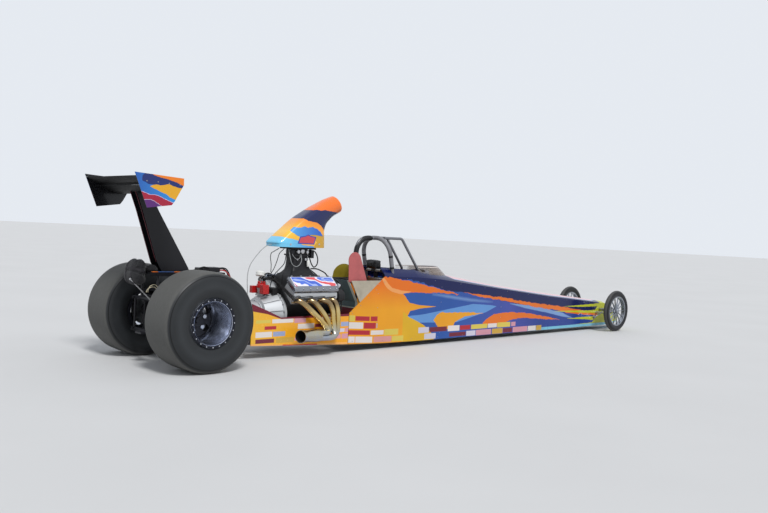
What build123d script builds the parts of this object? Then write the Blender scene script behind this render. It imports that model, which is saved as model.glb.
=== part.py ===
from build123d import *
import os
from math import cos, radians, sin

# Drag racing car with its engine behind the cockpit, in millimetres.
# While it is modelled, x runs forward from the rear axle, y to the left and z up from the ground.
# The finished car is moved back so that its origin lies below the middle of its length.

# Wheels and axles
WHEELBASE = 7350
REAR_TRACK = 1188
FRONT_TRACK = 836
REAR_TYRE_R = 457
FRONT_TYRE_R = 310
FIT = 0.3            # gap between curved faces that seat on each other
RUNNING = 0.06       # radial clearance of a shaft in its bearing

# Rear wheel, from the middle of the tyre outwards
REAR_TREAD_HALF = 196
REAR_SECTION_HALF = 232
REAR_RIM_HALF = 206
REAR_RIM_R = 203
REAR_LIP_R = 224
REAR_LIP_T = 8
REAR_BARREL_R = 192
REAR_DISC_INSET = 91
REAR_DISC_T = 10
REAR_HUB_R = 62
BEADLOCK_T = 9

# Front wheel
FRONT_SECTION_HALF = 38
FRONT_RIM_HALF = 30
FRONT_LIP_R = 224
FRONT_RIM_R = 217
FRONT_BARREL_R = 207
FRONT_SPOKES = 14
FRONT_HUB_R = 34
FRONT_HUB_HALF = 36

# Rear axle
SHAFT_R = 18
HOUSING_R = 40
HOUSING_BORE_R = 24
HOUSING_END = REAR_TRACK / 2 - 148
BEARING_LENGTH = 45
DISC_R = 145
DISC_Y = HOUSING_END + 21
DISC_T = 10
FLANGE_T = 18
DIFF_R = 142
DIFF_HALF = 118
PINION_NOSE_X = 300

# Front axle and steering
KINGPIN_Y = 333
KINGPIN_R = 10
KNUCKLE_R = 21
KNUCKLE_HALF = 30
FORK_GAP = 5
FORK_T = 9
SPINDLE_R = 14
STEER_ARM = 105
STEER_DROP = 46
RACK_R = 9
RACK_HOUSING_R = 19
FRONT_AXLE_R = 23
BALL_GAP = 6

# Body: its sides run straight between these two half widths, seen from above
PANEL_T = 8
BODY_REAR_X = 2040
BODY_REAR_HALF = 300
BODY_FRONT_X = WHEELBASE + 148
BODY_FRONT_HALF = 125

# Body, one row for each station: x, bottom, top of the side, crest of the cowl
STATIONS = [
    # x, bottom, side_top, crest
    (2040, 88, 432, 560),
    (2572, 68, 835, 985),
    (3130, 60, 822, 968),
    (3548, 60, 795, 882),
    (3911, 60, 757, 827),
    (4748, 60, 666, 708),
    (5965, 60, 534, 578),
    (BODY_FRONT_X, 60, 398, 430),
]
NOSE_X = WHEELBASE + 700
NOSE_BEND_X = NOSE_X - 210
NOSE_TIP_HALF = 52
NOSE_TIP_BOTTOM = 92
NOSE_TIP_TOP = 178
COCKPIT_FRONT_X = 3440
COCKPIT_HALF = 188
SCREEN_REAR_X = 3190
SCREEN_TOP_FRONT_X = 3711
SCREEN_TOP_HALF = 196
SCREEN_BASE_Z = 700
SCREEN_TOP_Z = 944
SCREEN_T = 4
BAY_REAR_X = 757
BAY_BOTTOM_REAR = 143
BAY_BOTTOM_FRONT = 89
BAY_FRONT_X = 2032

# Frame tubes
RAIL_R = 19
UPPER_RAIL_R = 16
BRACE_R = 12
CAGE_R = 19
HOOP_FOOT_X = 2750
HOOP_TOP_X = 2645     # the hoop leans back
HOOP_HALF = 232
HOOP_TOP = 1290
HOOP_BEND = 200
SHOULDER_BAR_Z = 885
STAY_X = 2357
STAY_Z = 1263
SHOULDER_BAR_R = 15
CAGE_BAR_HALF = 130
CAGE_BAR_R = 16
SHOULDER_TUBE_Z = 772
HOOP_FOOT = SHOULDER_TUBE_Z + UPPER_RAIL_R + FIT

# Rails of each side frame: x and z at each bend
LOWER_RAIL = [(-230, 300), (300, 190), (BAY_REAR_X, 170), (1250, 140), (2040, 116), (2900, 92),
              (BODY_FRONT_X - 48, 92)]
UPPER_RAIL = [(-230, 600), (300, 600), (BAY_REAR_X, 520), (1130, 384), (2020, 384), (2560, SHOULDER_TUBE_Z),
              (3130, SHOULDER_TUBE_Z), (3548, 760), (5965, 496),
              (BODY_FRONT_X - 48, 366)]

# Uprights that carry the cross bar of the steering column
COLUMN_BAR_X = 3596

# Slanting firewall behind the seat, and the head rest on the shoulder bar
FIREWALL_TOP_X = 2050
FIREWALL_FOOT_X = 2190
FIREWALL_BEND_Z = 545
FIREWALL_T = 5
HEADREST_REAR_X = 2475
HEADREST_HALF = 108
HEADREST_TOP_Z = 1008

# Tow plate on the rear crossmember
TOW_X = -268
TOW_R = 13

# Engine
CRANK_Z = 420
ENGINE_REAR_X = 1240
ENGINE_FRONT_X = 1838
PORTS_X = (1283, 1440, 1597, 1731)
PAN_BOTTOM = 135
HEADER_R = 25
COLLECTOR_R = 56
COLLECTOR_MOUTH_X = 1262
COLLECTOR_Y = 420
COLLECTOR_Z = 229
HAT_BASE_Z = 1134

# Wing, rear deck and parachute
WING_HALF = 508
ENDPLATE_T = 5
TAIL_X = -645
PYLON_HALF = 70
PYLON_T = 6
DECK_Z = 866
DECK_T = 6
DECK_REAR_X = -290
DECK_FRONT_X = 500
DECK_HALF = 185

MIDDLE_X = (NOSE_X + TAIL_X) / 2
REAR_WHEEL_Y = REAR_TRACK / 2
FRONT_WHEEL_Y = FRONT_TRACK / 2


def half_width(x):
    """Half width of the body at a distance ahead of the rear axle."""
    share = (x - BODY_REAR_X) / (BODY_FRONT_X - BODY_REAR_X)
    return BODY_REAR_HALF + min(max(share, 0), 1) * (BODY_FRONT_HALF - BODY_REAR_HALF)


def block(x0, x1, y0, y1, z0, z1):
    """A box between two corners."""
    centre = Pos((x0 + x1) / 2, (y0 + y1) / 2, (z0 + z1) / 2)
    return centre * Box(abs(x1 - x0), abs(y1 - y0), abs(z1 - z0))


def rod(start, end, radius):
    """A round bar from one point to another."""
    run = Vector(end) - Vector(start)
    base = Plane(origin=start, z_dir=run)
    return base * Cylinder(radius, run.length, align=(Align.CENTER, Align.CENTER, Align.MIN))


def bent_tube(points, radius, bend):
    """A round bar along straight runs joined by arcs of one radius."""
    path = FilletPolyline(*points, radius=bend)
    return sweep(Plane(origin=path @ 0, z_dir=path % 0) * Circle(radius), path=path)


def fuse(solids):
    """One shape out of several that overlap."""
    whole = solids[0]
    for piece in solids[1:]:
        whole = whole + piece
    return whole


def both_sides(shape):
    """A shape on the right side and its mirror image on the left."""
    return Compound([*shape.solids(), *mirror(shape, Plane.XZ).solids()])


def side_plate(outline, y_inner, thickness):
    """A plate that stands lengthwise: outline in x and z, its inner face at y, growing outwards (-y)."""
    face = make_face(Polyline(*[(x, z) for x, z in outline], close=True))
    return Plane(origin=(0, y_inner, 0), x_dir=(1, 0, 0), z_dir=(0, -1, 0)) * extrude(face, thickness)


def cross_profile(outline, x0, x1):
    """A prism along x: outline in y and z."""
    face = make_face(Polyline(*outline, close=True))
    return Plane(origin=(x0, 0, 0), x_dir=(0, 1, 0), z_dir=(1, 0, 0)) * extrude(face, x1 - x0)


def wheel_ring(outline):
    """A ring about y from an outline of radius and y."""
    return revolve(make_face(Polyline(*outline, close=True)), Axis.Y)


def tyre(outer_r, tread_half, section_half, bead_r, bead_half, lip_r, shoulder, wall):
    """A hollow tyre about y, open towards the rim."""

    def section(r_out, tread, widest, r_in, bead):
        flat = r_out - shoulder
        middle = (flat + lip_r) / 2
        side = Polyline((lip_r, -bead), (r_in, -bead), (r_in, bead), (lip_r, bead))
        left = ThreePointArc((lip_r, bead), (middle, widest), (flat, widest - shoulder * 0.2))
        left_shoulder = ThreePointArc((flat, widest - shoulder * 0.2),
                                      (r_out - shoulder * 0.28, (tread + widest) / 2 + shoulder * 0.06),
                                      (r_out, tread))
        tread_line = Line((r_out, tread), (r_out, -tread))
        halves = [left, left_shoulder]
        mirrored = [mirror(edge, Plane.XZ) for edge in halves]
        return make_face(side.edges() + Curve(children=halves).edges() + tread_line.edges()
                         + Curve(children=mirrored).edges())

    outer = section(outer_r, tread_half, section_half, bead_r, bead_half)
    inner = section(outer_r - wall, tread_half - wall * 0.6, section_half - wall, bead_r - 1, bead_half - wall)
    return revolve(outer - inner, Axis.Y)


def inset(x, radius):
    """Where a side frame's tube lies across the car, just inside the right body side."""
    return -(half_width(x) - PANEL_T - FIT - radius)


def height_on(rail, x):
    """Height of a rail's centre line at a distance ahead of the rear axle."""
    for (x0, z0), (x1, z1) in zip(rail, rail[1:]):
        if x <= x1:
            return z0 + (x - x0) / (x1 - x0) * (z1 - z0)
    return rail[-1][1]


def rail_tube(rail, radius, bend=120):
    """A tube of the right side frame, from x and z at each of its bends."""
    return bent_tube([(x, inset(x, radius), z) for x, z in rail], radius, bend)


def frame_sides():
    """The two side frames: a lower and an upper rail, with uprights and slanting braces between."""
    shoulder = [(FIREWALL_FOOT_X + 35, 531), (FIREWALL_TOP_X + 55, SHOULDER_TUBE_Z), (2560, SHOULDER_TUBE_Z)]
    tubes = [rail_tube(LOWER_RAIL, RAIL_R), rail_tube(UPPER_RAIL, UPPER_RAIL_R),
             rail_tube(shoulder, UPPER_RAIL_R, 50)]
    # foot x and z on the lower rail, head x and z on the upper one
    braces = [((-200, 294), (-200, 600)), ((-100, 272), (-100, 600)), ((100, 230), (100, 600)),
              ((300, 190), (300, 600)), ((320, 190), (740, 524)), ((757, 170), (757, 520)),
              ((780, 170), (1120, 386)), ((1190, 146), (1190, 384)), ((2000, 118), (2000, 384)),
              ((2060, 116), (2500, 740)), ((2620, 102), (2620, 770)), ((COLUMN_BAR_X, 92), (COLUMN_BAR_X, 755))]
    for (x0, z0), (x1, z1) in braces:
        tubes.append(rod((x0, inset(x0, UPPER_RAIL_R), z0), (x1, inset(x1, UPPER_RAIL_R), z1), BRACE_R))
    y = inset(0, UPPER_RAIL_R)
    plate = side_plate([(-100, 250), (-100, 590), (100, 590), (100, 230)], y + 5, 10)
    plate -= rod((0, y - 50, REAR_TYRE_R), (0, y + 50, REAR_TYRE_R), HOUSING_R + FIT)
    return both_sides(fuse([*tubes, plate]))


def frame_crossmembers():
    """Tubes across the car between the side frames, and the posts that carry the rear deck."""

    def across(x, z, radius, rail_r):
        half = -inset(x + radius, 2 * rail_r) - FIT
        return rod((x, -half, z), (x, half, z), radius)

    plain = [across(x, z, 16, RAIL_R) for x, z in
             ((BAY_REAR_X, 170), (2000, 117), (2480, 102), (3000, 92), (3500, 92), (5965, 92))]
    plain.append(across(STAY_X, SHOULDER_TUBE_Z, 16, UPPER_RAIL_R))
    carriers = []
    for x in (-200, 300):
        posts = [rod((x, y, 600), (x, y, DECK_Z - DECK_T), 12) for y in (-150, 150)]
        carriers.append(fuse([across(x, 600, 16, UPPER_RAIL_R), *posts]))
    rear = across(-200, 294, 19, RAIL_R)
    tow_plate = block(-300, -190, -55, 55, 284, 300) - Pos(TOW_X, 0, 292) * Cylinder(TOW_R, 40)
    return Compound([s for p in [rear + tow_plate, *carriers, *plain] for s in p.solids()])


def column_axis():
    """Start, end and direction of the steering column."""
    slope = radians(22)
    return Vector(3290, 0, 705), Vector(cos(slope), 0, -sin(slope))


def column_mount():
    """Cross tube ahead of the cockpit with the bush that the steering column turns in."""
    start, along = column_axis()
    centre = start + along * ((COLUMN_BAR_X - start.X) / along.X)
    half = -inset(COLUMN_BAR_X + 11, UPPER_RAIL_R + BRACE_R) - FIT
    bar = rod((COLUMN_BAR_X, -half, centre.Z - 30), (COLUMN_BAR_X, half, centre.Z - 30), 11)
    boss = rod(centre - along * 25, centre + along * 25, 24)
    bore = rod(centre - along * 40, centre + along * 40, 11 + RUNNING)
    return bar + boss - bore


def steering_wheel():
    """Butterfly steering wheel on its column."""
    start, along = column_axis()
    shaft = rod(start, start + along * 420, 11)
    plane = Plane(origin=start, x_dir=(0, 1, 0), z_dir=along)
    grips = []
    for side in (-1, 1):
        middle = start + Vector(0, side * 150, 0)
        grips.append(rod(middle + plane.y_dir * 60, middle - plane.y_dir * 60, 14))
    spoke = rod(start - Vector(0, 150, 0), start + Vector(0, 150, 0), 11)
    hub = rod(start - along * 16, start + along * 20, 34)
    return fuse([shaft, spoke, hub, *grips])


def hoop_x(z):
    """Where the leaning hoop's tube is at a height above the ground."""
    return HOOP_FOOT_X + (HOOP_TOP_X - HOOP_FOOT_X) * (z - HOOP_FOOT) / (HOOP_TOP - CAGE_R - HOOP_FOOT)


def roll_hoop():
    """Main hoop behind the seat, leaning back, with its shoulder bar."""
    top = HOOP_TOP - CAGE_R
    low = HOOP_FOOT - 8
    hoop = bent_tube([(hoop_x(low), -HOOP_HALF, low), (HOOP_TOP_X, -HOOP_HALF, top),
                      (HOOP_TOP_X, HOOP_HALF, top), (hoop_x(low), HOOP_HALF, low)], CAGE_R, HOOP_BEND)
    below = block(HOOP_FOOT_X - 100, HOOP_FOOT_X + 100, -300, 300, HOOP_FOOT - 50, HOOP_FOOT)
    return hoop - below + shoulder_bar(SHOULDER_BAR_R)


def shoulder_bar(radius):
    """Bar between the hoop's legs that the shoulder belts go round."""
    x = hoop_x(SHOULDER_BAR_Z)
    return rod((x, -HOOP_HALF, SHOULDER_BAR_Z), (x, HOOP_HALF, SHOULDER_BAR_Z), radius)


def cage_bar_route():
    """Points of the right front bar, from the hoop's top down to the upper rail."""
    foot_x = 3360
    last = Vector(foot_x, inset(foot_x, UPPER_RAIL_R), height_on(UPPER_RAIL, foot_x))
    knee = Vector(3237, -CAGE_BAR_HALF - 5, 918)
    end = last + (knee - last).normalized() * (UPPER_RAIL_R + CAGE_BAR_R + 2)
    top = HOOP_TOP - CAGE_R
    return [(HOOP_TOP_X + CAGE_R + FIT, -CAGE_BAR_HALF, top), (2957, -CAGE_BAR_HALF, top), tuple(knee), tuple(end)]


def front_bar(radius):
    """Right front bar of the cage."""
    start, upper, knee, end = cage_bar_route()
    return bent_tube([start, upper, knee, end], radius, 60)


def cage_braces():
    """Two front bars down to the upper rails, and a stay behind the head down to its crossmember."""
    front = front_bar(CAGE_BAR_R)
    top = (HOOP_TOP_X - CAGE_R - FIT, 0, STAY_Z)
    foot = (STAY_X, 0, SHOULDER_TUBE_Z + 16 + FIT)
    stay = bent_tube([top, (STAY_X, 0, STAY_Z), foot], CAGE_BAR_R, 130)
    return Compound([*both_sides(front).solids(), *stay.solids()])


def body_side():
    """Right body side: a panel with a slanting rear edge."""
    outer = []
    for x, bottom, top, _ in STATIONS:
        half = half_width(x)
        outer.append(Plane.YZ.offset(x) * make_face(Polyline(
            (-half, bottom), (-half, top), (-half + PANEL_T, top), (-half + PANEL_T, bottom), close=True)))
    panel = loft(outer, ruled=True)
    hole = Pos(WHEELBASE, 0, FRONT_TYRE_R) * Rot(90, 0, 0) * Cylinder(FRONT_AXLE_R + FIT, 600)
    rack = Pos(WHEELBASE - STEER_ARM, 0, FRONT_TYRE_R - STEER_DROP) * Rot(90, 0, 0)
    return panel - hole - rack * Cylinder(RACK_HOUSING_R + FIT, 600)


def cowl():
    """Arched top panel from the cockpit forward, open over the cockpit."""
    sections = []
    for x, _, top, crest in STATIONS[1:]:
        half = half_width(x)
        outer = ThreePointArc((-half, top), (0, crest), (half, top))
        inner = ThreePointArc((half - PANEL_T, top), (0, crest - PANEL_T), (-half + PANEL_T, top))
        ends = [Line((half, top), (half - PANEL_T, top)), Line((-half + PANEL_T, top), (-half, top))]
        sections.append(Plane.YZ.offset(x) * make_face([*outer.edges(), *inner.edges(),
                                                        *ends[0].edges(), *ends[1].edges()]))
    shell = loft(sections, ruled=True)
    opening = block(2500, COCKPIT_FRONT_X - COCKPIT_HALF, -COCKPIT_HALF, COCKPIT_HALF, 700, 1100)
    rounded = Pos(COCKPIT_FRONT_X - COCKPIT_HALF, 0, 900) * Cylinder(COCKPIT_HALF, 400)
    shell = shell - opening - rounded
    bar = front_bar(CAGE_BAR_R + 1)
    leg = rod((hoop_x(700), -HOOP_HALF, 700), (hoop_x(1000), -HOOP_HALF, 1000), CAGE_R + 1)
    for cut in (bar, mirror(bar, Plane.XZ), leg, mirror(leg, Plane.XZ), shoulder_bar(SHOULDER_BAR_R + 1)):
        shell = shell - cut
    return max(shell.solids(), key=lambda s: s.volume)


def nose_cone():
    """Tapered nose with a rounded tip."""
    x0, bottom, top, crest = STATIONS[-1]
    half = BODY_FRONT_HALF

    def section(x, wide, low, high, crown):
        sides = Polyline((wide, high), (wide, low), (-wide, low), (-wide, high))
        arch = ThreePointArc((-wide, high), (0, crown), (wide, high))
        return Plane.YZ.offset(x) * make_face([*sides.edges(), *arch.edges()])

    middle = NOSE_BEND_X
    share = (middle - x0) / (NOSE_X - x0)
    body = loft([
        section(x0, half, bottom, top, crest),
        section(middle, half + share * (NOSE_TIP_HALF + 16 - half), bottom + 8, 262, 284),
        section(NOSE_X, NOSE_TIP_HALF - 14, NOSE_TIP_BOTTOM, NOSE_TIP_TOP - 12, NOSE_TIP_TOP),
    ], ruled=True)
    return body


def belly_pan():
    """Floor panel between the body sides."""
    sections = []
    for x, bottom, _, _ in STATIONS:
        inner = half_width(x) - PANEL_T
        sections.append(Plane.YZ.offset(x) * make_face(Polyline(
            (-inner, bottom), (inner, bottom), (inner, bottom + 4), (-inner, bottom + 4), close=True)))
    return loft(sections, ruled=True)


def windscreen():
    """Low curved screen ahead of the cockpit, standing on the cowl."""
    rise = SCREEN_TOP_Z - SCREEN_BASE_Z
    base_half = SCREEN_TOP_HALF + rise * 0.14
    base_front = SCREEN_TOP_FRONT_X + rise * 1.4

    def plan(z, half, front, thickness):
        reach = front - SCREEN_REAR_X - thickness
        arc = EllipticalCenterArc((SCREEN_REAR_X, 0), reach, half - thickness, start_angle=-90, arc_size=180)
        chord = Line((SCREEN_REAR_X, half - thickness), (SCREEN_REAR_X, thickness - half))
        return Plane.XY.offset(z) * make_face([*arc.edges(), *chord.edges()])

    def shell(thickness):
        return loft([plan(SCREEN_BASE_Z, base_half, base_front, thickness),
                     plan(SCREEN_TOP_Z, SCREEN_TOP_HALF, SCREEN_TOP_FRONT_X, thickness)], ruled=True)

    under = []
    for x, _, top, crest in STATIONS[1:]:
        half = half_width(x)
        arch = ThreePointArc((-half, top), (0, crest), (half, top))
        low = Polyline((half, top), (half, 300), (-half, 300), (-half, top))
        under.append(Plane.YZ.offset(x) * make_face([*arch.edges(), *low.edges()]))
    screen = shell(0) - shell(SCREEN_T) - loft(under, ruled=True)
    return max(screen.solids(), key=lambda s: s.volume)


def firewall():
    """Bent sheet between the engine and the seat."""
    half = -inset(FIREWALL_FOOT_X + FIREWALL_T, 2 * RAIL_R) - FIT
    top = SHOULDER_TUBE_Z + UPPER_RAIL_R + 2
    foot = 92
    outline = [(FIREWALL_TOP_X, top), (FIREWALL_FOOT_X, FIREWALL_BEND_Z), (FIREWALL_FOOT_X, foot),
               (FIREWALL_FOOT_X + FIREWALL_T, foot), (FIREWALL_FOOT_X + FIREWALL_T, FIREWALL_BEND_Z + 1),
               (FIREWALL_TOP_X + FIREWALL_T + 1, top)]
    return side_plate(outline, half, 2 * half)


def rear_side_plate(face, depth, thickness):
    """A plate parallel to the tapering rear part of the right body side, some way inside its outer face."""
    run = Vector(BODY_FRONT_X - BODY_REAR_X, BODY_REAR_HALF - BODY_FRONT_HALF, 0).normalized()
    plane = Plane(origin=(BODY_REAR_X, -BODY_REAR_HALF + depth, 0), x_dir=run, z_dir=run.cross(Vector(0, 0, 1)))
    return plane * extrude(face, -thickness)


def shoulder_panels():
    """Triangular fillers above the slanting rear edge of each body side."""
    x0, _, top0, _ = STATIONS[0]
    x1, _, top1, _ = STATIONS[1]
    top = SHOULDER_TUBE_Z + UPPER_RAIL_R
    slope = (top1 - top0) / (x1 - x0)
    foot = FIREWALL_FOOT_X - x0
    outline = [(foot, top0 + foot * slope + 1), (8, top), ((top - top0 - 1) / slope, top)]
    return both_sides(rear_side_plate(make_face(Polyline(*outline, close=True)), 0, PANEL_T))


def fins():
    """Round-topped plates at the rear corners of the cockpit: a tall one on the right, a low one on the left."""
    low = SHOULDER_TUBE_Z
    tall = make_face([
        *Polyline((286, low), (2, low), (-8, 986)).edges(),
        *ThreePointArc((-8, 986), (62, 1101), (170, 1040)).edges(),
        *Line((170, 1040), (286, low)).edges(),
    ])
    on_tube = SHOULDER_TUBE_Z + UPPER_RAIL_R + FIT
    squat = make_face([
        *Polyline((510, on_tube), (205, on_tube), (222, 862)).edges(),
        *ThreePointArc((222, 862), (370, 946), (510, 880)).edges(),
        *Line((510, 880), (510, on_tube)).edges(),
    ])
    right = rear_side_plate(tall, PANEL_T + 2 * (FIT + UPPER_RAIL_R), 6)
    left = mirror(rear_side_plate(squat, PANEL_T + FIT + UPPER_RAIL_R - 3, 6), Plane.XZ)
    return Compound([*right.solids(), *left.solids()])


def seat():
    """Bucket seat: pan, slanting back and two side bolsters."""
    low = 92 + 16 + FIT
    shell = [(3330, 150), (2990, 124), (2930, 144), (2690, 800), (2676, 796), (2914, 134), (2984, low), (3020, low),
             (3330, 136)]
    face = make_face(Polyline(*shell, close=True))
    pan = Plane(origin=(0, 190, 0), x_dir=(1, 0, 0), z_dir=(0, -1, 0)) * extrude(face, 380)
    side = side_plate([(3330, 137), (3330, 250), (3030, 280), (2790, 740), (2700, 770), (2915, 135), (2985, low + 1),
                       (3020, low + 1)], -184, 6)
    return pan + both_sides(side)


def headrest():
    """Padded block for the head, on the shoulder bar."""
    low = SHOULDER_BAR_Z + SHOULDER_BAR_R + FIT
    front = hoop_x(SHOULDER_BAR_Z)
    face = make_face(Polyline((HEADREST_REAR_X, low), (HEADREST_REAR_X + 12, HEADREST_TOP_Z),
                              (front - 8, HEADREST_TOP_Z), (front + 20, low + 12), (front + 20, low), close=True))
    return Plane(origin=(0, HEADREST_HALF, 0), x_dir=(1, 0, 0), z_dir=(0, -1, 0)) * extrude(face, 2 * HEADREST_HALF)


def bay_panels():
    """Low side panels beside the engine."""
    x0, x1 = BAY_REAR_X, BAY_FRONT_X
    outline = [(x0, BAY_BOTTOM_REAR), (x1, BAY_BOTTOM_FRONT), (x1, 425), (1116, 416), (950, 488), (x0, 564)]
    return both_sides(side_plate(outline, -(BODY_REAR_HALF - PANEL_T), PANEL_T))


def engine_block():
    """Cast block with a valley between the two banks."""
    outline = [(-135, 345), (135, 345), (150, 420), (265, 545), (125, 685), (60, 622), (-60, 622),
               (-125, 685), (-265, 545), (-150, 420)]
    return cross_profile(outline, ENGINE_REAR_X, ENGINE_FRONT_X)


def cylinder_heads():
    """One head on each bank."""
    outline = [(-125, 685), (-265, 545), (-325, 605), (-325, 662), (-195, 766)]
    return both_sides(cross_profile(outline, ENGINE_REAR_X + 12, ENGINE_FRONT_X - 10))


def valve_covers():
    """Pressed cover on each head."""
    outline = [(-195, 766), (-325, 662), (-346, 690), (-336, 728), (-213, 832), (-184, 800)]
    return both_sides(cross_profile(outline, ENGINE_REAR_X + 5, ENGINE_FRONT_X - 4))


def oil_pan():
    """Deep sump below the block."""
    outline = [(-128, 345), (128, 345), (120, PAN_BOTTOM + 30), (95, PAN_BOTTOM), (-95, PAN_BOTTOM),
               (-120, PAN_BOTTOM + 30)]
    return cross_profile(outline, ENGINE_REAR_X + 20, ENGINE_FRONT_X - 10)


def intake():
    """Tall manifold with two throttle bodies under the scoop."""
    lower = cross_profile([(-100, 640), (100, 640), (168, 800), (158, 880), (-158, 880), (-168, 800)], 1300, 1712)
    plenum = block(1310, 1702, -118, 118, 880, 1052)
    bodies = [block(x, x + 150, -105, 105, 1052, 1110) for x in (1335, 1527)]
    plate = block(1300, 1712, -125, 125, 1110, HAT_BASE_Z)
    whole = fuse([lower, plenum, *bodies, plate])
    return whole - engine_block() - cylinder_heads() - valve_covers()


def hat_sections(wall):
    """Rounded sections of the scoop from its base to its mouth."""
    # x and z of the rear edge, x and z of the front edge, width, corner as a share of the shorter side
    rows = [
        (1170, HAT_BASE_Z, 1800, HAT_BASE_Z, 300, 0.27),
        (1168, 1184, 1798, 1184, 300, 0.27),
        (1224, 1237, 1797, 1237, 296, 0.3),
        (1475, 1447, 1800, 1325, 276, 0.36),
        (1655, 1564, 1830, 1390, 254, 0.4),
        (1845, 1668, 1950, 1478, 226, 0.44),
        (1960, 1714, 2062, 1532, 204, 0.46),
    ]
    faces = []
    for x0, z0, x1, z1, width, share in rows:
        along = Vector(x1 - x0, 0, z1 - z0)
        middle = Vector((x0 + x1) / 2, 0, (z0 + z1) / 2)
        plane = Plane(origin=middle, x_dir=along, z_dir=along.cross(Vector(0, 1, 0)))
        corner = min(along.length, width) * share
        faces.append(plane * RectangleRounded(along.length - 2 * wall, width - 2 * wall, corner - wall))
    return faces


def scoop():
    """Tall air scoop with a round mouth that faces forward."""
    outer = loft(hat_sections(0), ruled=True)
    inner = loft(hat_sections(6), ruled=True)
    floor = block(1000, 1900, -250, 250, 1000, HAT_BASE_Z + 6)
    return outer - (inner - floor)


def header():
    """Right-hand exhaust: four primary tubes that turn back into one open collector."""
    # forward reach of each tube, and its place across and up the collector
    rows = [(1640, 27, 27), (1690, -27, 27), (1742, 27, -27), (1790, -27, -27)]
    pieces = []
    for port, (reach, across, up) in zip(PORTS_X, rows):
        y, z = -(COLLECTOR_Y + across), COLLECTOR_Z + up
        pieces.append(bent_tube([(port, -298, 583), (port + 30, -352, 575), (reach, -400, 372),
                                 (reach, y, z), (1440, y, z)], HEADER_R, 34))
    start = (1475, -COLLECTOR_Y, COLLECTOR_Z)
    pieces.append(rod(start, (COLLECTOR_MOUTH_X, -COLLECTOR_Y, COLLECTOR_Z), COLLECTOR_R))
    flange = side_plate([(PORTS_X[0] - 40, 556), (PORTS_X[-1] + 40, 556), (PORTS_X[-1] + 40, 600),
                         (PORTS_X[0] - 40, 600)], -300, 6)
    whole = fuse([*pieces, flange])
    mouth = rod((COLLECTOR_MOUTH_X - 20, -COLLECTOR_Y, COLLECTOR_Z), (1400, -COLLECTOR_Y, COLLECTOR_Z),
                COLLECTOR_R - 4)
    return whole - mouth - cylinder_heads()


def distributor():
    """Ignition distributor on the bell housing."""
    body = Pos(1065, 0, 590) * Cylinder(30, 130, align=(Align.CENTER, Align.CENTER, Align.MIN))
    cap = Pos(1065, 0, 700) * Cylinder(52, 56, align=(Align.CENTER, Align.CENTER, Align.MIN))
    return body + cap - gearbox()


def gearbox():
    """Bell housing, gearbox and output shaft, one casting line from the engine to the rear axle."""
    outline = [(ENGINE_REAR_X, 0), (ENGINE_REAR_X, 232), (1200, 232), (1010, 176), (1000, 140), (860, 128),
               (560, 112), (520, 70), (PINION_NOSE_X + FIT, 52), (PINION_NOSE_X + FIT, 0)]
    return Pos(0, 0, CRANK_Z) * revolve(make_face(Polyline(*outline, close=True)), Axis.X)


def front_drive():
    """Pulleys and belt on the front of the engine."""
    x = ENGINE_FRONT_X
    plate = cross_profile([(-150, 350), (150, 350), (150, 560), (80, 700), (-80, 700), (-150, 560)], x, x + 10)
    pulleys = [rod((x + 10, y, z), (x + 60, y, z), r) for y, z, r in ((0, CRANK_Z, 78), (0, 610, 95), (-170, 470, 52))]
    arm = block(x, x + 10, -215, -100, 440, 510)
    return fuse([plate, arm, *pulleys])


def axle_housing():
    """Rear axle housing with its nose towards the gearbox, and the brake calipers on its ends."""
    tube = rod((0, -HOUSING_END, 0), (0, HOUSING_END, 0), HOUSING_R)
    centre = revolve(make_face([
        *Line((-DIFF_HALF + 10, 0), (-DIFF_HALF + 10, 60)).edges(),
        *ThreePointArc((-DIFF_HALF + 10, 60), (-70, 118), (-20, DIFF_R)).edges(),
        *Polyline((-20, DIFF_R), (60, DIFF_R), (70, 120), (190, 62), (PINION_NOSE_X, 52), (PINION_NOSE_X, 0),
                  (-DIFF_HALF + 10, 0)).edges(),
    ]), Axis.X)
    bore = rod((0, -HOUSING_END - 1, 0), (0, HOUSING_END + 1, 0), HOUSING_BORE_R)
    housing = tube + centre - bore
    caliper_parts = []
    for side in (-1, 1):
        ring = rod((0, side * (HOUSING_END - BEARING_LENGTH), 0), (0, side * HOUSING_END, 0), HOUSING_R + 14)
        ring -= rod((0, side * 300, 0), (0, side * 600, 0), SHAFT_R + RUNNING)
        arm = block(30, 165, side * (HOUSING_END - 10), side * (DISC_Y - DISC_T / 2 - 6), -40, 40)
        arm -= rod((0, side * 300, 0), (0, side * 600, 0), HOUSING_R)
        outer = block(100, 165, side * (DISC_Y + DISC_T / 2 + 6), side * (DISC_Y + DISC_T / 2 + 18), -40, 40)
        bridge = block(DISC_R + 6, 165, side * (HOUSING_END - 10), side * (DISC_Y + DISC_T / 2 + 18), -40, 40)
        caliper_parts += [ring, arm, outer, bridge]
    whole = fuse([housing, *caliper_parts])
    return Pos(0, 0, REAR_TYRE_R) * whole


def axle_shaft():
    """One solid shaft between both rear wheels, with flanges and brake discs."""
    face = REAR_WHEEL_Y - REAR_DISC_INSET - REAR_DISC_T / 2
    pieces = [rod((0, -face, 0), (0, face, 0), SHAFT_R)]
    for side in (-1, 1):
        pieces.append(rod((0, side * (face - FLANGE_T), 0), (0, side * face, 0), REAR_HUB_R))
        pieces.append(rod((0, side * (DISC_Y - DISC_T / 2), 0), (0, side * (DISC_Y + DISC_T / 2), 0), DISC_R))
        pieces.append(rod((0, side * (DISC_Y - 2), 0), (0, side * face, 0), 50))
    return Pos(0, 0, REAR_TYRE_R) * fuse(pieces)


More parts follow.
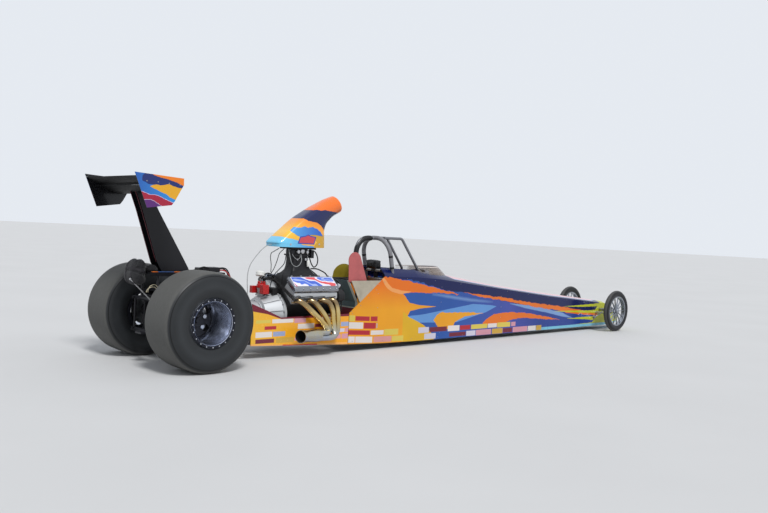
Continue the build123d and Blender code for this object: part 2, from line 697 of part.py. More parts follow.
def rear_rim(side):
    """Deep wheel with its centre near the inner edge and a clamped ring on the outer lip."""
    half, lip = REAR_RIM_HALF, REAR_LIP_R
    barrel = wheel_ring([(REAR_BARREL_R, -half - REAR_LIP_T), (lip, -half - REAR_LIP_T), (lip, -half),
                         (REAR_RIM_R, -half), (REAR_RIM_R, half), (lip, half), (lip, half + REAR_LIP_T),
                         (lip - 4, half + REAR_LIP_T + BEADLOCK_T), (REAR_BARREL_R + 6, half + REAR_LIP_T + BEADLOCK_T),
                         (REAR_BARREL_R, half + REAR_LIP_T)])
    low = -REAR_DISC_INSET - REAR_DISC_T / 2
    disc = wheel_ring([(0, low), (REAR_BARREL_R + 2, low), (REAR_BARREL_R + 2, low + REAR_DISC_T),
                       (REAR_HUB_R + 10, low + REAR_DISC_T), (REAR_HUB_R - 4, low + 45), (30, low + 45),
                       (26, low + 70), (0, low + 70)])
    whole = barrel + disc
    for turn in range(5):
        angle = radians(72 * turn + 36)
        hole = Pos(132 * cos(angle), 0, 132 * sin(angle)) * Rot(90, 0, 0) * Cylinder(34, 400)
        whole -= hole & block(-200, 200, low - 5, low + 40, -200, 200)
    # the wheel is drawn with its outer side towards +y
    if side < 0:
        whole = mirror(whole, Plane.XZ)
    return Pos(0, side * REAR_WHEEL_Y, REAR_TYRE_R) * whole


def rear_tyre(side):
    """Wide treadless rear tyre."""
    ring = tyre(REAR_TYRE_R, REAR_TREAD_HALF, REAR_SECTION_HALF, REAR_RIM_R + FIT, REAR_RIM_HALF - FIT,
                REAR_LIP_R + 2, 42, 14)
    return Pos(0, side * REAR_WHEEL_Y, REAR_TYRE_R) * ring


def front_rim(side):
    """Narrow wheel with thin flat spokes."""
    half = FRONT_RIM_HALF
    ring = wheel_ring([(FRONT_BARREL_R, -half), (FRONT_LIP_R, -half), (FRONT_LIP_R, -half + 4),
                       (FRONT_RIM_R, -half + 4), (FRONT_RIM_R, half - 4), (FRONT_LIP_R, half - 4),
                       (FRONT_LIP_R, half), (FRONT_BARREL_R, half)])
    hub = wheel_ring([(SPINDLE_R + RUNNING, -FRONT_HUB_HALF), (FRONT_HUB_R, -FRONT_HUB_HALF),
                      (FRONT_HUB_R, FRONT_HUB_HALF), (SPINDLE_R + RUNNING, FRONT_HUB_HALF)])
    spoke = block(FRONT_HUB_R - 2, FRONT_BARREL_R + 2, -9, 9, -4, 4)
    spokes = [Rot(0, 360 / FRONT_SPOKES * n, 0) * spoke for n in range(FRONT_SPOKES)]
    return Pos(WHEELBASE, side * FRONT_WHEEL_Y, FRONT_TYRE_R) * fuse([ring, hub, *spokes])


def front_tyre(side):
    """Narrow front tyre."""
    ring = tyre(FRONT_TYRE_R, 20, FRONT_SECTION_HALF, FRONT_RIM_R + FIT, FRONT_RIM_HALF - 4 - FIT,
                FRONT_LIP_R + 2, 22, 7)
    return Pos(WHEELBASE, side * FRONT_WHEEL_Y, FRONT_TYRE_R) * ring


def knuckle(side):
    """Front stub axle that turns on the kingpin, with its steering arm and ball."""
    boss = Pos(0, side * KINGPIN_Y, 0) * Cylinder(KNUCKLE_R, 2 * KNUCKLE_HALF)
    start = side * (KINGPIN_Y + 12)
    tip = side * (FRONT_WHEEL_Y + FRONT_HUB_HALF + 8)
    spindle = rod((0, start, 0), (0, tip, 0), SPINDLE_R)
    nut = rod((0, side * (FRONT_WHEEL_Y + FRONT_HUB_HALF + 2), 0), (0, tip, 0), SPINDLE_R + 8)
    collar = rod((0, start, 0), (0, side * (FRONT_WHEEL_Y - FRONT_HUB_HALF - 2), 0), SPINDLE_R + 5)
    arm = rod((-12, side * KINGPIN_Y, -22), (-STEER_ARM, side * KINGPIN_Y, -STEER_DROP), 7)
    ball = Pos(-STEER_ARM, side * KINGPIN_Y, -STEER_DROP) * Rot(0, 0, 180) * Sphere(13)
    bore = Pos(0, side * KINGPIN_Y, 0) * Cylinder(KINGPIN_R + RUNNING, 4 * KNUCKLE_HALF)
    return Pos(WHEELBASE, 0, FRONT_TYRE_R) * (fuse([boss, collar, spindle, nut, arm, ball]) - bore)


def front_axle():
    """Front axle tube with a fork and kingpin at each end."""
    reach = KINGPIN_Y - KNUCKLE_R - FORK_GAP - 6
    pieces = [rod((0, -reach, 0), (0, reach, 0), FRONT_AXLE_R)]
    top = KNUCKLE_HALF + FORK_GAP
    for side in (-1, 1):
        pieces.append(block(-20, 20, side * (reach - 10), side * reach, -top - FORK_T, top + FORK_T))
        for up in (-1, 1):
            pieces.append(block(-18, 18, side * (reach - 10), side * (KINGPIN_Y + 18), up * top, up * (top + FORK_T)))
        pieces.append(Pos(0, side * KINGPIN_Y, 0) * Cylinder(KINGPIN_R, 2 * (top + FORK_T) + 8))
    return Pos(WHEELBASE, 0, FRONT_TYRE_R) * fuse(pieces)


def rack_housing():
    """Tube across the nose that the steering rack slides in."""
    half = 215
    tube = rod((0, -half, 0), (0, half, 0), RACK_HOUSING_R) - rod((0, -half - 1, 0), (0, half + 1, 0), RACK_R + RUNNING)
    return Pos(WHEELBASE - STEER_ARM, 0, FRONT_TYRE_R - STEER_DROP) * tube


def steering_rack():
    """Rod that slides across the car and pushes both steering arms."""
    end = KINGPIN_Y - 13 - BALL_GAP
    return Pos(WHEELBASE - STEER_ARM, 0, FRONT_TYRE_R - STEER_DROP) * rod((0, -end, 0), (0, end, 0), RACK_R)


def aerofoil(lead, trail, thickness):
    """Curved wing section between its front and rear edges, given in x and z."""
    (x0, z0), (x1, z1) = lead, trail
    middle = ((x0 + x1) / 2, (z0 + z1) / 2)
    run = Vector(x1 - x0, z1 - z0)
    normal = Vector(-run.Y, run.X).normalized()
    if normal.Y < 0:
        normal = normal * -1
    belly = (middle[0] - normal.X * thickness, middle[1] - normal.Y * thickness)
    back = (middle[0] - normal.X * thickness * 0.15, middle[1] - normal.Y * thickness * 0.15)
    face = make_face([*ThreePointArc(lead, belly, trail).edges(), *ThreePointArc(trail, back, lead).edges()])
    half = WING_HALF - ENDPLATE_T
    return Plane(origin=(0, half, 0), x_dir=(1, 0, 0), z_dir=(0, -1, 0)) * extrude(face, 2 * half)


def wing():
    """Main wing and flap between the end plates."""
    main = aerofoil((-205, 1598), (-500, 1650), 34)
    flap = aerofoil((-470, 1668), (-628, 1722), 16)
    return Compound([*main.solids(), *flap.solids()])


def endplates():
    """Plate at each end of the wing."""
    outline = [(TAIL_X, 1750), (-175, 1728), (-173, 1670), (-257, 1520), (-285, 1484), (-520, 1450)]
    return both_sides(side_plate(outline, -(WING_HALF - ENDPLATE_T), ENDPLATE_T))


def wing_pylon():
    """Two side plates and a front web that carry the wing on the rear deck."""
    outline = [(-118, DECK_Z), (-169, 951), (-338, 1442), (-424, 1660), (-290, 1640), (-168, 1424), (156, 906),
               (172, DECK_Z)]
    plates = both_sides(side_plate(outline, -(PYLON_HALF - PYLON_T), PYLON_T))
    web_outline = [(165, DECK_Z), (150, 906), (-174, 1424), (-290, 1628), (-296, 1640), (-290, 1640),
                   (-168, 1424), (156, 906), (172, DECK_Z)]
    web = Plane(origin=(0, PYLON_HALF - PYLON_T, 0), x_dir=(1, 0, 0), z_dir=(0, -1, 0)) * extrude(
        make_face(Polyline(*web_outline, close=True)), 2 * (PYLON_HALF - PYLON_T))
    whole = fuse([*plates.solids(), web]) - wing()
    return max(whole.solids(), key=lambda s: s.volume)


def rear_deck():
    """Cover plate between the rear tyres, below the wing."""
    plate = block(DECK_REAR_X, DECK_FRONT_X, -DECK_HALF, DECK_HALF, DECK_Z - DECK_T, DECK_Z)
    lips = [block(DECK_REAR_X, DECK_FRONT_X, s * DECK_HALF, s * (DECK_HALF - 5), DECK_Z - 34, DECK_Z)
            for s in (-1, 1)]
    return fuse([plate, *lips])


def parachute_pack():
    """Packed brake parachute on the back of the deck."""
    x0 = DECK_REAR_X - FIT
    face = make_face(Polyline((x0, 690), (x0, 960), (x0 - 38, 985), (x0 - 118, 930), (x0 - 133, 700), (x0 - 108, 672),
                              close=True))
    return Plane(origin=(0, 115, 0), x_dir=(1, 0, 0), z_dir=(0, -1, 0)) * extrude(face, 230)


CABLE_R = 4
CABLE_ROUTE = [(1169, 0, 1150), (1126, 0, 1148), (1082, 2, 1122), (1040, 6, 1086), (1004, 10, 1044),
               (968, 14, 998), (932, 16, 952), (906, 14, 896), (892, 10, 832), (888, 5, 768), (890, 1, 708),
               (896, 0, 640), (896, 0, 551.3)]


def control_cable():
    """Cable from the scoop's base down to the gearbox."""
    runs = [(Vector(b) - Vector(a)).length for a, b in zip(CABLE_ROUTE, CABLE_ROUTE[1:])]
    radii = []
    for n in range(1, len(CABLE_ROUTE) - 1):
        first = Vector(CABLE_ROUTE[n]) - Vector(CABLE_ROUTE[n - 1])
        second = Vector(CABLE_ROUTE[n + 1]) - Vector(CABLE_ROUTE[n])
        half_turn = radians(first.get_angle(second) / 2)
        radii.append(0.45 * min(runs[n - 1], runs[n]) / (sin(half_turn) / cos(half_turn)))
    path = FilletPolyline(*CABLE_ROUTE, radius=radii)
    return sweep(Plane(origin=path @ 0, z_dir=path % 0) * Circle(CABLE_R), path=path)


def main():
    os.makedirs("parts", exist_ok=True)
    nodes = {
        "frame_sides": frame_sides(),
        "frame_crossmembers": Compound([*frame_crossmembers().solids(), column_mount()]),
        "roll_hoop": roll_hoop(),
        "cage_braces": cage_braces(),
        "body_sides": both_sides(body_side()),
        "cowl": cowl(),
        "nose_cone": nose_cone(),
        "belly_pan": belly_pan(),
        "windscreen": windscreen(),
        "firewall": firewall(),
        "shoulder_panels": shoulder_panels(),
        "fins": fins(),
        "seat": seat(),
        "headrest": headrest(),
        "bay_panels": bay_panels(),
        "engine_block": engine_block(),
        "cylinder_heads": cylinder_heads(),
        "valve_covers": valve_covers(),
        "oil_pan": oil_pan(),
        "intake": intake(),
        "scoop": scoop(),
        "headers": both_sides(header()),
        "distributor": distributor(),
        "gearbox": gearbox(),
        "front_drive": front_drive(),
        "axle_housing": axle_housing(),
        "axle_shaft": axle_shaft(),
        "front_axle": front_axle(),
        "rack_housing": rack_housing(),
        "steering_rack": steering_rack(),
        "steering_wheel": steering_wheel(),
        "wing": wing(),
        "endplates": endplates(),
        "wing_pylon": wing_pylon(),
        "rear_deck": rear_deck(),
        "parachute_pack": parachute_pack(),
        "control_cable": control_cable(),
    }
    nodes["rear_rims"] = Compound([rear_rim(-1), rear_rim(1)])
    nodes["rear_tyres"] = Compound([rear_tyre(-1), rear_tyre(1)])
    for name, side in (("right", -1), ("left", 1)):
        nodes[f"front_rim_{name}"] = front_rim(side)
        nodes[f"front_tyre_{name}"] = front_tyre(side)
        nodes[f"knuckle_{name}"] = knuckle(side)
    for name, shape in nodes.items():
        moved = [Pos(-MIDDLE_X, 0, 0) * solid for solid in shape.solids()]
        export_step(moved[0] if len(moved) == 1 else Compound(moved), f"parts/{name}.step")
    print(len(nodes), "nodes, origin", MIDDLE_X, "ahead of the rear axle")


main()
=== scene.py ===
# %% [markdown]
# A drag racing car, dressed cell by cell. The solid model of the car is loaded as a fixed frame, and every cell
# after that adds one piece or one finish to it. The frame says where things are, so nothing here is placed by eye
# in empty space: a bolt sits on the plate that it holds.

# %% Load the frame
import math
import bmesh
import bpy
from mathutils import Matrix, Vector
from mathutils.bvhtree import BVHTree


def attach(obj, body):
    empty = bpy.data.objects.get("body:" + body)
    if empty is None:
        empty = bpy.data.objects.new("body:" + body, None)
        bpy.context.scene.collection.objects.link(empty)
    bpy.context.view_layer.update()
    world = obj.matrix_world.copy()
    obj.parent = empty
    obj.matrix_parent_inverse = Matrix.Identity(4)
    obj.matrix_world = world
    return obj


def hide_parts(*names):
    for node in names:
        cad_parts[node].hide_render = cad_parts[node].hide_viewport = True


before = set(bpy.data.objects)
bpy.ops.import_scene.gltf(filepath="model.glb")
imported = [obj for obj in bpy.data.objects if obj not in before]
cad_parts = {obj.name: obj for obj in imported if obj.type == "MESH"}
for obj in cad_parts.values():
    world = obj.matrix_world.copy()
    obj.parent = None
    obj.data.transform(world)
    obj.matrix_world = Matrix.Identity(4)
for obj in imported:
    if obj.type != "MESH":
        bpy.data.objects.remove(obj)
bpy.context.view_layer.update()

scene = bpy.context.scene

# %% [markdown]
# Sizes on a long car are easiest to read from one axle, so all places below are given in metres ahead of the rear
# axle, to the left of the middle plane and above the ground. The model's own origin lies under the middle of the
# car's length. One small function turns the first into the second.

# %% Places on the car
ORIGIN_X = 3.7025
REAR_AXLE_Z = 0.457
REAR_WHEEL_Y = 0.594
FRONT_AXLE = (7.35, 0.31)
FRONT_WHEEL_Y = 0.418
RIGHT_LEFT = (-1, 1)
SIDES = (("right", -1), ("left", 1))


def at(x, y, z):
    """A point given from the rear axle, in the model's own frame."""
    return Vector((x - ORIGIN_X, y, z))


print("rear axle at", tuple(at(0, 0, REAR_AXLE_Z)))

# %% [markdown]
# The photograph was taken from behind the car's right rear wheel, with the camera 1.34 m above the ground. Its
# place and tilt were solved from the wheels' ellipses. A camera looks along its own -Z, so the three axes are built
# first and put in as the columns of its matrix.

# %% Camera at the photograph's angle
CAMERA_PLACE = (-3.8959, -7.0825, 1.3371)
YAW, PITCH, ROLL = 0.8133, -0.0293, 0.0495
FOCAL_PIXELS, PHOTO_WIDTH = 821.004, 768
look = Vector((math.cos(PITCH) * math.cos(YAW), math.cos(PITCH) * math.sin(YAW), math.sin(PITCH)))
across = look.cross(Vector((0, 0, 1))).normalized()
upward = across.cross(look)
right_axis = across * math.cos(ROLL) + upward * math.sin(ROLL)
up_axis = upward * math.cos(ROLL) - across * math.sin(ROLL)
camera = bpy.data.objects.new("camera", bpy.data.cameras.new("camera"))
scene.collection.objects.link(camera)
camera.data.sensor_width = 36
camera.data.lens = FOCAL_PIXELS / PHOTO_WIDTH * camera.data.sensor_width
camera.data.clip_end = 500
turned_to_car = Matrix((right_axis, up_axis, -look)).transposed().to_4x4()
camera.matrix_world = Matrix.Translation(at(*CAMERA_PLACE)) @ turned_to_car
scene.camera = camera
scene.view_settings.view_transform = "Standard"
print("lens", round(camera.data.lens, 2), "mm, camera at", tuple(round(v, 2) for v in camera.location))

# %% [markdown]
# Shader maths gets long when every sum is a node made by hand. Amount wraps one output of a node and overloads the
# arithmetic signs, so that a mask reads like a formula. Finish is a material being made: its method node() adds
# any kind of node, sets its settings first and then its sockets.

# %% A small language for materials
def shade(red, green, blue):
    """A colour as a painter mixes it, 0 to 255, as the linear values that a shader takes."""
    def linear(v):
        v = v / 255
        return v / 12.92 if v <= 0.04045 else ((v + 0.055) / 1.055) ** 2.4
    return (linear(red), linear(green), linear(blue), 1.0)


class Amount:
    """One output of a material's nodes. Arithmetic on it adds Math nodes."""

    def __init__(self, finish, socket):
        self.finish, self.socket = finish, socket

    def math(self, operation, *values):
        return self.finish.node("ShaderNodeMath", {"operation": operation}, dict(enumerate((self, *values))))

    def __add__(self, other):
        return self.math("ADD", other)

    def __mul__(self, other):
        return self.math("MULTIPLY", other)

    def __sub__(self, other):
        return self.math("SUBTRACT", other)

    def __truediv__(self, other):
        return self.math("DIVIDE", other)

    def __rsub__(self, other):
        return self.finish.node("ShaderNodeMath", {"operation": "SUBTRACT"}, {0: other, 1: self})

    __radd__ = __add__
    __rmul__ = __mul__

    def clamped(self):
        return self.finish.node("ShaderNodeClamp", {}, {"Value": self})

    def over(self, soft):
        """1 where this is above 0 and 0 where it is below, with an edge as wide as soft."""
        return (self / soft + 0.5).clamped()


class Finish:
    """A material being made, with one Principled shader."""

    def __init__(self, name, **constants):
        self.material = bpy.data.materials.new(name)
        self.material.use_nodes = True
        self.tree = self.material.node_tree
        self.shader = self.tree.nodes["Principled BSDF"]
        self.position = self.node("ShaderNodeTexCoord", {}, {}, "Object")
        for socket, value in constants.items():
            self.shader.inputs[socket.replace("_", " ").title().replace("Ior", "IOR")].default_value = value

    def node(self, kind, settings, sockets, output=0):
        """Adds a node: its settings first, then its sockets, and returns one of its outputs."""
        made = self.tree.nodes.new(kind)
        for key, value in settings.items():
            if key == "stops":
                ramp = made.color_ramp
                while len(ramp.elements) > 1:
                    ramp.elements.remove(ramp.elements[-1])
                for n, (place, colour) in enumerate(value):
                    stop = ramp.elements[0] if n == 0 else ramp.elements.new(place)
                    stop.position = place
                    stop.color = colour
            elif key == "interpolation":
                made.color_ramp.interpolation = value
            elif key == "curve":
                line = made.mapping.curves[0]
                while len(line.points) > 2:
                    line.points.remove(line.points[1])
                line.points[0].location = value[0]
                line.points[1].location = value[-1]
                for point in value[1:-1]:
                    line.points.new(*point)
                for point in line.points:
                    point.handle_type = "VECTOR"
                made.mapping.update()
            else:
                setattr(made, key, value)
        for key, value in sockets.items():
            if isinstance(value, Amount):
                self.tree.links.new(value.socket, made.inputs[key])
            else:
                made.inputs[key].default_value = value
        return Amount(self, made.outputs[output])

    def set(self, socket, value):
        """Feeds one socket of the Principled shader."""
        self.tree.links.new(value.socket, self.shader.inputs[socket])

    def xyz(self):
        """The surface point's three coordinates, x counted from the rear axle."""
        parts = self.node("ShaderNodeSeparateXYZ", {}, {0: self.position})
        x, y, z = (Amount(self, parts.socket.node.outputs[n]) for n in range(3))
        return x + ORIGIN_X, y, z

    def noise(self, scale, detail=2.0, stretch=None, rough=0.5):
        """Noise from 0 to 1. stretch makes its grain longer along an axis."""
        where = self.position
        if stretch:
            where = self.node("ShaderNodeVectorMath", {"operation": "MULTIPLY"}, {0: where, 1: stretch})
        return self.node("ShaderNodeTexNoise", {}, {"Vector": where, "Scale": scale, "Detail": detail,
                "Roughness": rough})

    def ramp(self, share, stops, kind="LINEAR"):
        """A colour that runs through stops as share goes from 0 to 1. A stop is a place and a painter's tone."""
        stops = [(place, shade(*tone)) for place, *tone in stops]
        return self.node("ShaderNodeValToRGB", {"interpolation": kind, "stops": stops}, {0: share})

    def mix(self, share, first, second, kind="MIX"):
        """A colour between two, by a share from 0 to 1."""
        return self.node("ShaderNodeMix", {"data_type": "RGBA", "blend_type": kind},
            {0: share, 6: first, 7: second}, 2)

    def bump(self, height, strength, distance=0.001):
        """Feeds the surface's normal from a height."""
        self.set("Normal", self.node("ShaderNodeBump", {}, {"Height": height, "Strength": strength,
                "Distance": distance}))

    def line(self, x, points):
        """The height of a drawn line at x: points are x and z in metres, joined by straight strokes."""
        first, last = points[0][0], points[-1][0]
        low = min(z for _, z in points)
        high = max(max(z for _, z in points), low + 0.001)
        drawn = [((px - first) / (last - first), (pz - low) / (high - low)) for px, pz in points]
        share = ((x - first) / (last - first)).clamped()
        height = self.node("ShaderNodeFloatCurve", {"curve": drawn}, {"Factor": 1.0, "Value": share})
        return height * (high - low) + low


print("materials can be written as formulas")

# %% [markdown]
# Most of the car is metal or black paint. Real parts of that kind are never one flat tone: the colour shifts a
# little, the gloss shifts more, and cast or brushed skins have a grain. Each finish below starts from one tone and
# adds those three things from noise in the object's own coordinates, so the grain stays on the part.

# %% Metals, black paints and rubber
def times(tone, factor):
    """A tone made lighter or darker."""
    return tuple(min(1.0, v * factor) for v in tone[:3]) + (1.0,)


def plain_finish(name, tone, rough, metallic, vary, grain, dent, stretch=None, **constants):
    """A finish of one tone whose colour, gloss and surface shift with noise. vary is the share that the tone
    shifts by, grain the fineness of the fine noise, and dent the depth of its bumps."""
    made = Finish(name, Metallic=metallic, **constants)
    cloud = made.noise(6.0, 3.0)
    fine = made.noise(grain, 3.0, stretch)
    tone = shade(*tone)
    made.set("Base Color", made.mix(cloud * 0.6 + fine * 0.4, times(tone, 1 - vary), times(tone, 1 + vary)))
    made.set("Roughness", ((fine - 0.5) * 0.25 + (cloud - 0.5) * 0.15 + rough).clamped())
    made.bump(fine, dent, 0.0006)
    return made.material


DULL = {"Specular_Ior_Level": 0.3}
frame_paint = plain_finish("frame tube black", (38, 38, 42), 0.38, 0, 0.3, 220, 0.04, **DULL)
cage_paint = plain_finish("cage tube grey", (116, 117, 122), 0.36, 0.35, 0.12, 260, 0.05)
panel_black = plain_finish("satin black panel", (24, 24, 28), 0.34, 0, 0.3, 60, 0.03, **DULL)
wing_black = plain_finish("wing black", (11, 11, 13), 0.55, 0, 0.35, 90, 0.03, Specular_Ior_Level=0.14)
casting_black = plain_finish("black casting", (28, 28, 30), 0.52, 0, 0.35, 420, 0.3, **DULL)
aluminium = plain_finish("brushed aluminium", (196, 196, 198), 0.34, 0.95, 0.12, 90, 0.06, (0.15, 1, 6))
cast_aluminium = plain_finish("cast aluminium", (186, 188, 190), 0.58, 0.55, 0.2, 380, 0.25)
polished = plain_finish("polished wheel", (214, 218, 226), 0.14, 1, 0.06, 30, 0.01, (1, 8, 1))
cover_alloy = plain_finish("valve cover alloy", (150, 153, 160), 0.24, 0.95, 0.12, 30, 0.01, (0.3, 1, 1))
spoke_alloy = plain_finish("spoke alloy", (158, 162, 170), 0.26, 0.9, 0.1, 60, 0.02)
steel = plain_finish("machined steel", (150, 152, 156), 0.3, 0.9, 0.15, 160, 0.05)
red_mould = plain_finish("red moulding", (176, 22, 22), 0.28, 0, 0.2, 80, 0.03)
white_mould = plain_finish("white moulding", (225, 225, 220), 0.4, 0, 0.06, 80, 0.03)
hose_black = plain_finish("black hose", (20, 20, 21), 0.48, 0, 0.3, 300, 0.1, **DULL)
cable_grey = plain_finish("grey cable cover", (150, 152, 152), 0.5, 0, 0.1, 500, 0.08)
print("plain finishes made:", len(bpy.data.materials))

# %% [markdown]
# The exhaust tubes are stainless steel that the heat has coloured: straw yellow over the bends, paler and bluish
# where they meet the collector. The colour follows the height on the car, broken up with noise.

# %% Heat-coloured exhaust steel
def header_finish():
    made = Finish("header steel", Metallic=1.0)
    z = made.xyz()[2]
    heat = (z - 0.2) / 0.36 + (made.noise(9.0, 3.0) - 0.5) * 0.5
    made.set("Base Color", made.ramp(heat.clamped(), [(0, 168, 174, 184), (0.22, 186, 178, 152),
            (0.45, 206, 178, 112), (0.75, 214, 190, 132), (1, 150, 128, 96)]))
    made.set("Roughness", made.noise(60.0, 2.0) * 0.14 + 0.16)
    made.bump(made.noise(160.0, 2.0), 0.03)
    return made.material


header_steel = header_finish()
print("header steel follows height on the car")

# %% [markdown]
# A drag slick has no tread. Its wide face is scuffed grey by the burnout, with fine grooves that run round it. Its
# side is darker and bluish, partly the rubber's own black and partly a painted shade, with a painted sheen ring and
# a painted dark line along the shoulder crease. Distance from the axle tells the two apart, so the finish is worked
# out from the radius round the wheel's own centre.

# %% Tyre rubber
def rubber_finish(name, axle, tread_radius, line_radius, face, side, tread_half, wheel_y):
    made = Finish(name, Specular_Ior_Level=0.3)
    x, y, z = made.xyz()
    ahead, up = x - axle[0], z - axle[1]
    radius = (ahead * ahead + up * up).math("SQRT")
    inside = y.math("ABSOLUTE") - wheel_y
    off = inside.math("ABSOLUTE")
    on_tread = (tread_half - off).over(0.012) * (radius - tread_radius).over(0.02)
    cloud = made.noise(7.0, 4.0, rough=0.6)
    scuff = made.noise(26.0, 4.0, (1.0, 5.0, 1.0), 0.65)
    # the side is darker and bluish than the face: partly the rubber's own black, partly a painted shade
    face, side = shade(*face), shade(*side)
    worn = made.mix(scuff, times(face, 0.7), times(face, 1.35))
    plain = made.mix(cloud, times(side, 0.75), times(side, 1.3))
    # a dark ring where the face meets the side: painted shade in the shoulder crease
    line = (0.0036 - (radius - line_radius).math("ABSOLUTE")).over(0.001)
    # a lighter ring on the side: a painted sheen highlight
    painted_sheen = (0.03 - (radius - line_radius * 0.78).math("ABSOLUTE")).over(0.05) * 0.35
    plain = made.mix(painted_sheen, plain, times(side, 2.4))
    made.set("Base Color", made.mix(line, made.mix(on_tread, plain, worn), shade(10, 10, 11)))
    made.set("Roughness", on_tread * 0.3 + 0.42 + (cloud - 0.5) * 0.16)
    made.bump(scuff * on_tread + made.noise(240.0, 2.0) * 0.3, 0.12, 0.0015)
    return made.material


slick_rubber = rubber_finish("slick rubber", (0, REAR_AXLE_Z), 0.425, 0.4195, (84, 84, 82), (38, 40, 42), 0.2,
    REAR_WHEEL_Y)
front_rubber = rubber_finish("front tyre rubber", FRONT_AXLE, 0.296, 0.2895, (70, 70, 70), (24, 25, 28), 0.03,
    FRONT_WHEEL_Y)
print("two tyre finishes, one for each axle")

# %% [markdown]
# The body's paint is a flame scheme: navy along the top, a golden tail end, blue and light-blue fields, orange
# flames with ragged edges and a yellow-green nose. It is drawn as regions between lines. Each line gives a height
# for every x along the car, and a mask is 1 on one side of it. Noise moves the point a little first, which makes
# the edges ragged where the painter pulled the flames out.

# %% Colours of the body
NAVY = shade(8, 22, 78)
BLUE = shade(40, 84, 160)
DEEP_BLUE = shade(34, 62, 140)
SKY = shade(96, 146, 206)
PALE_SKY = shade(142, 176, 220)
PURPLE = shade(72, 76, 160)
GOLD = shade(232, 158, 30)
ORANGE = shade(226, 112, 26)
PEACH = shade(236, 160, 92)
LIME = shade(190, 194, 36)
CYAN = shade(120, 190, 214)
MAROON = shade(112, 18, 40)


def ragged(made, x, z, amount, scale):
    """x and z shifted by noise that is longer along the car."""
    shift = made.noise(scale, 3.0, (1.0, 0.0, 2.4), 0.65)
    return x + (shift - 0.5) * amount * 1.5, z + (shift - 0.5) * amount


def between(made, x, z, top, bottom, soft=0.004):
    """A mask of the region between two drawn lines, from the first point of the upper one to its last."""
    inside = (made.line(x, top) - z).over(soft) * (z - made.line(x, bottom)).over(soft)
    return inside * (x - top[0][0]).over(soft) * (top[-1][0] - x).over(soft)


# %% [markdown]
# The lower band of the car carries rows of small coloured plates, all blank. One rule draws them: the height is cut
# into rows, each row into cells, and a random number for the cell picks the cell's colour. A sine in x makes the
# cells unequal in length. A narrow gap of the ground colour is left round each plate.

# %% Rows of blank plates
def plate_rows(made, x, z, low, height, rows, cell, seed=3.0):
    """How far inside a plate a point is, and the plate's random number."""
    level = ((z - low) / height).math("FLOOR")
    up = ((z - low) / height).math("FRACT")
    shifted = (x + (x * 9.0 + level * 2.0).math("SINE") * 0.045) / cell + level * 0.37
    along = shifted.math("FRACT")
    cell_point = made.node("ShaderNodeCombineXYZ", {}, {0: shifted.math("FLOOR"), 1: level, 2: seed})
    dice = made.node("ShaderNodeTexWhiteNoise", {"noise_dimensions": "3D"}, {"Vector": cell_point})
    inside = ((0.5 - (along - 0.5).math("ABSOLUTE")) * cell - 0.007).over(0.003)
    margin = (dice * 7.0).math("FRACT") * 0.014 + 0.004
    inside = inside * ((0.5 - (up - 0.5).math("ABSOLUTE")) * height - margin).over(0.003)
    inside = inside * (0.8 - (dice * 13.0).math("FRACT")).over(0.01)
    return inside * (level + 0.5).over(0.1) * (rows - 0.5 - level).over(0.1), dice


def plate_colours(made, dice):
    return made.ramp(dice, [(0, 222, 214, 208), (0.14, 176, 40, 52), (0.27, 214, 192, 84), (0.36, 226, 218, 214),
            (0.47, 206, 146, 160), (0.6, 150, 162, 196), (0.68, 200, 160, 64), (0.76, 112, 34, 52),
            (0.86, 204, 200, 214)], "CONSTANT")


print("rules for flames and plates are ready")

# %% [markdown]
# The main colours come first and the flames are laid over them, just as a painter sprays from light to dark.

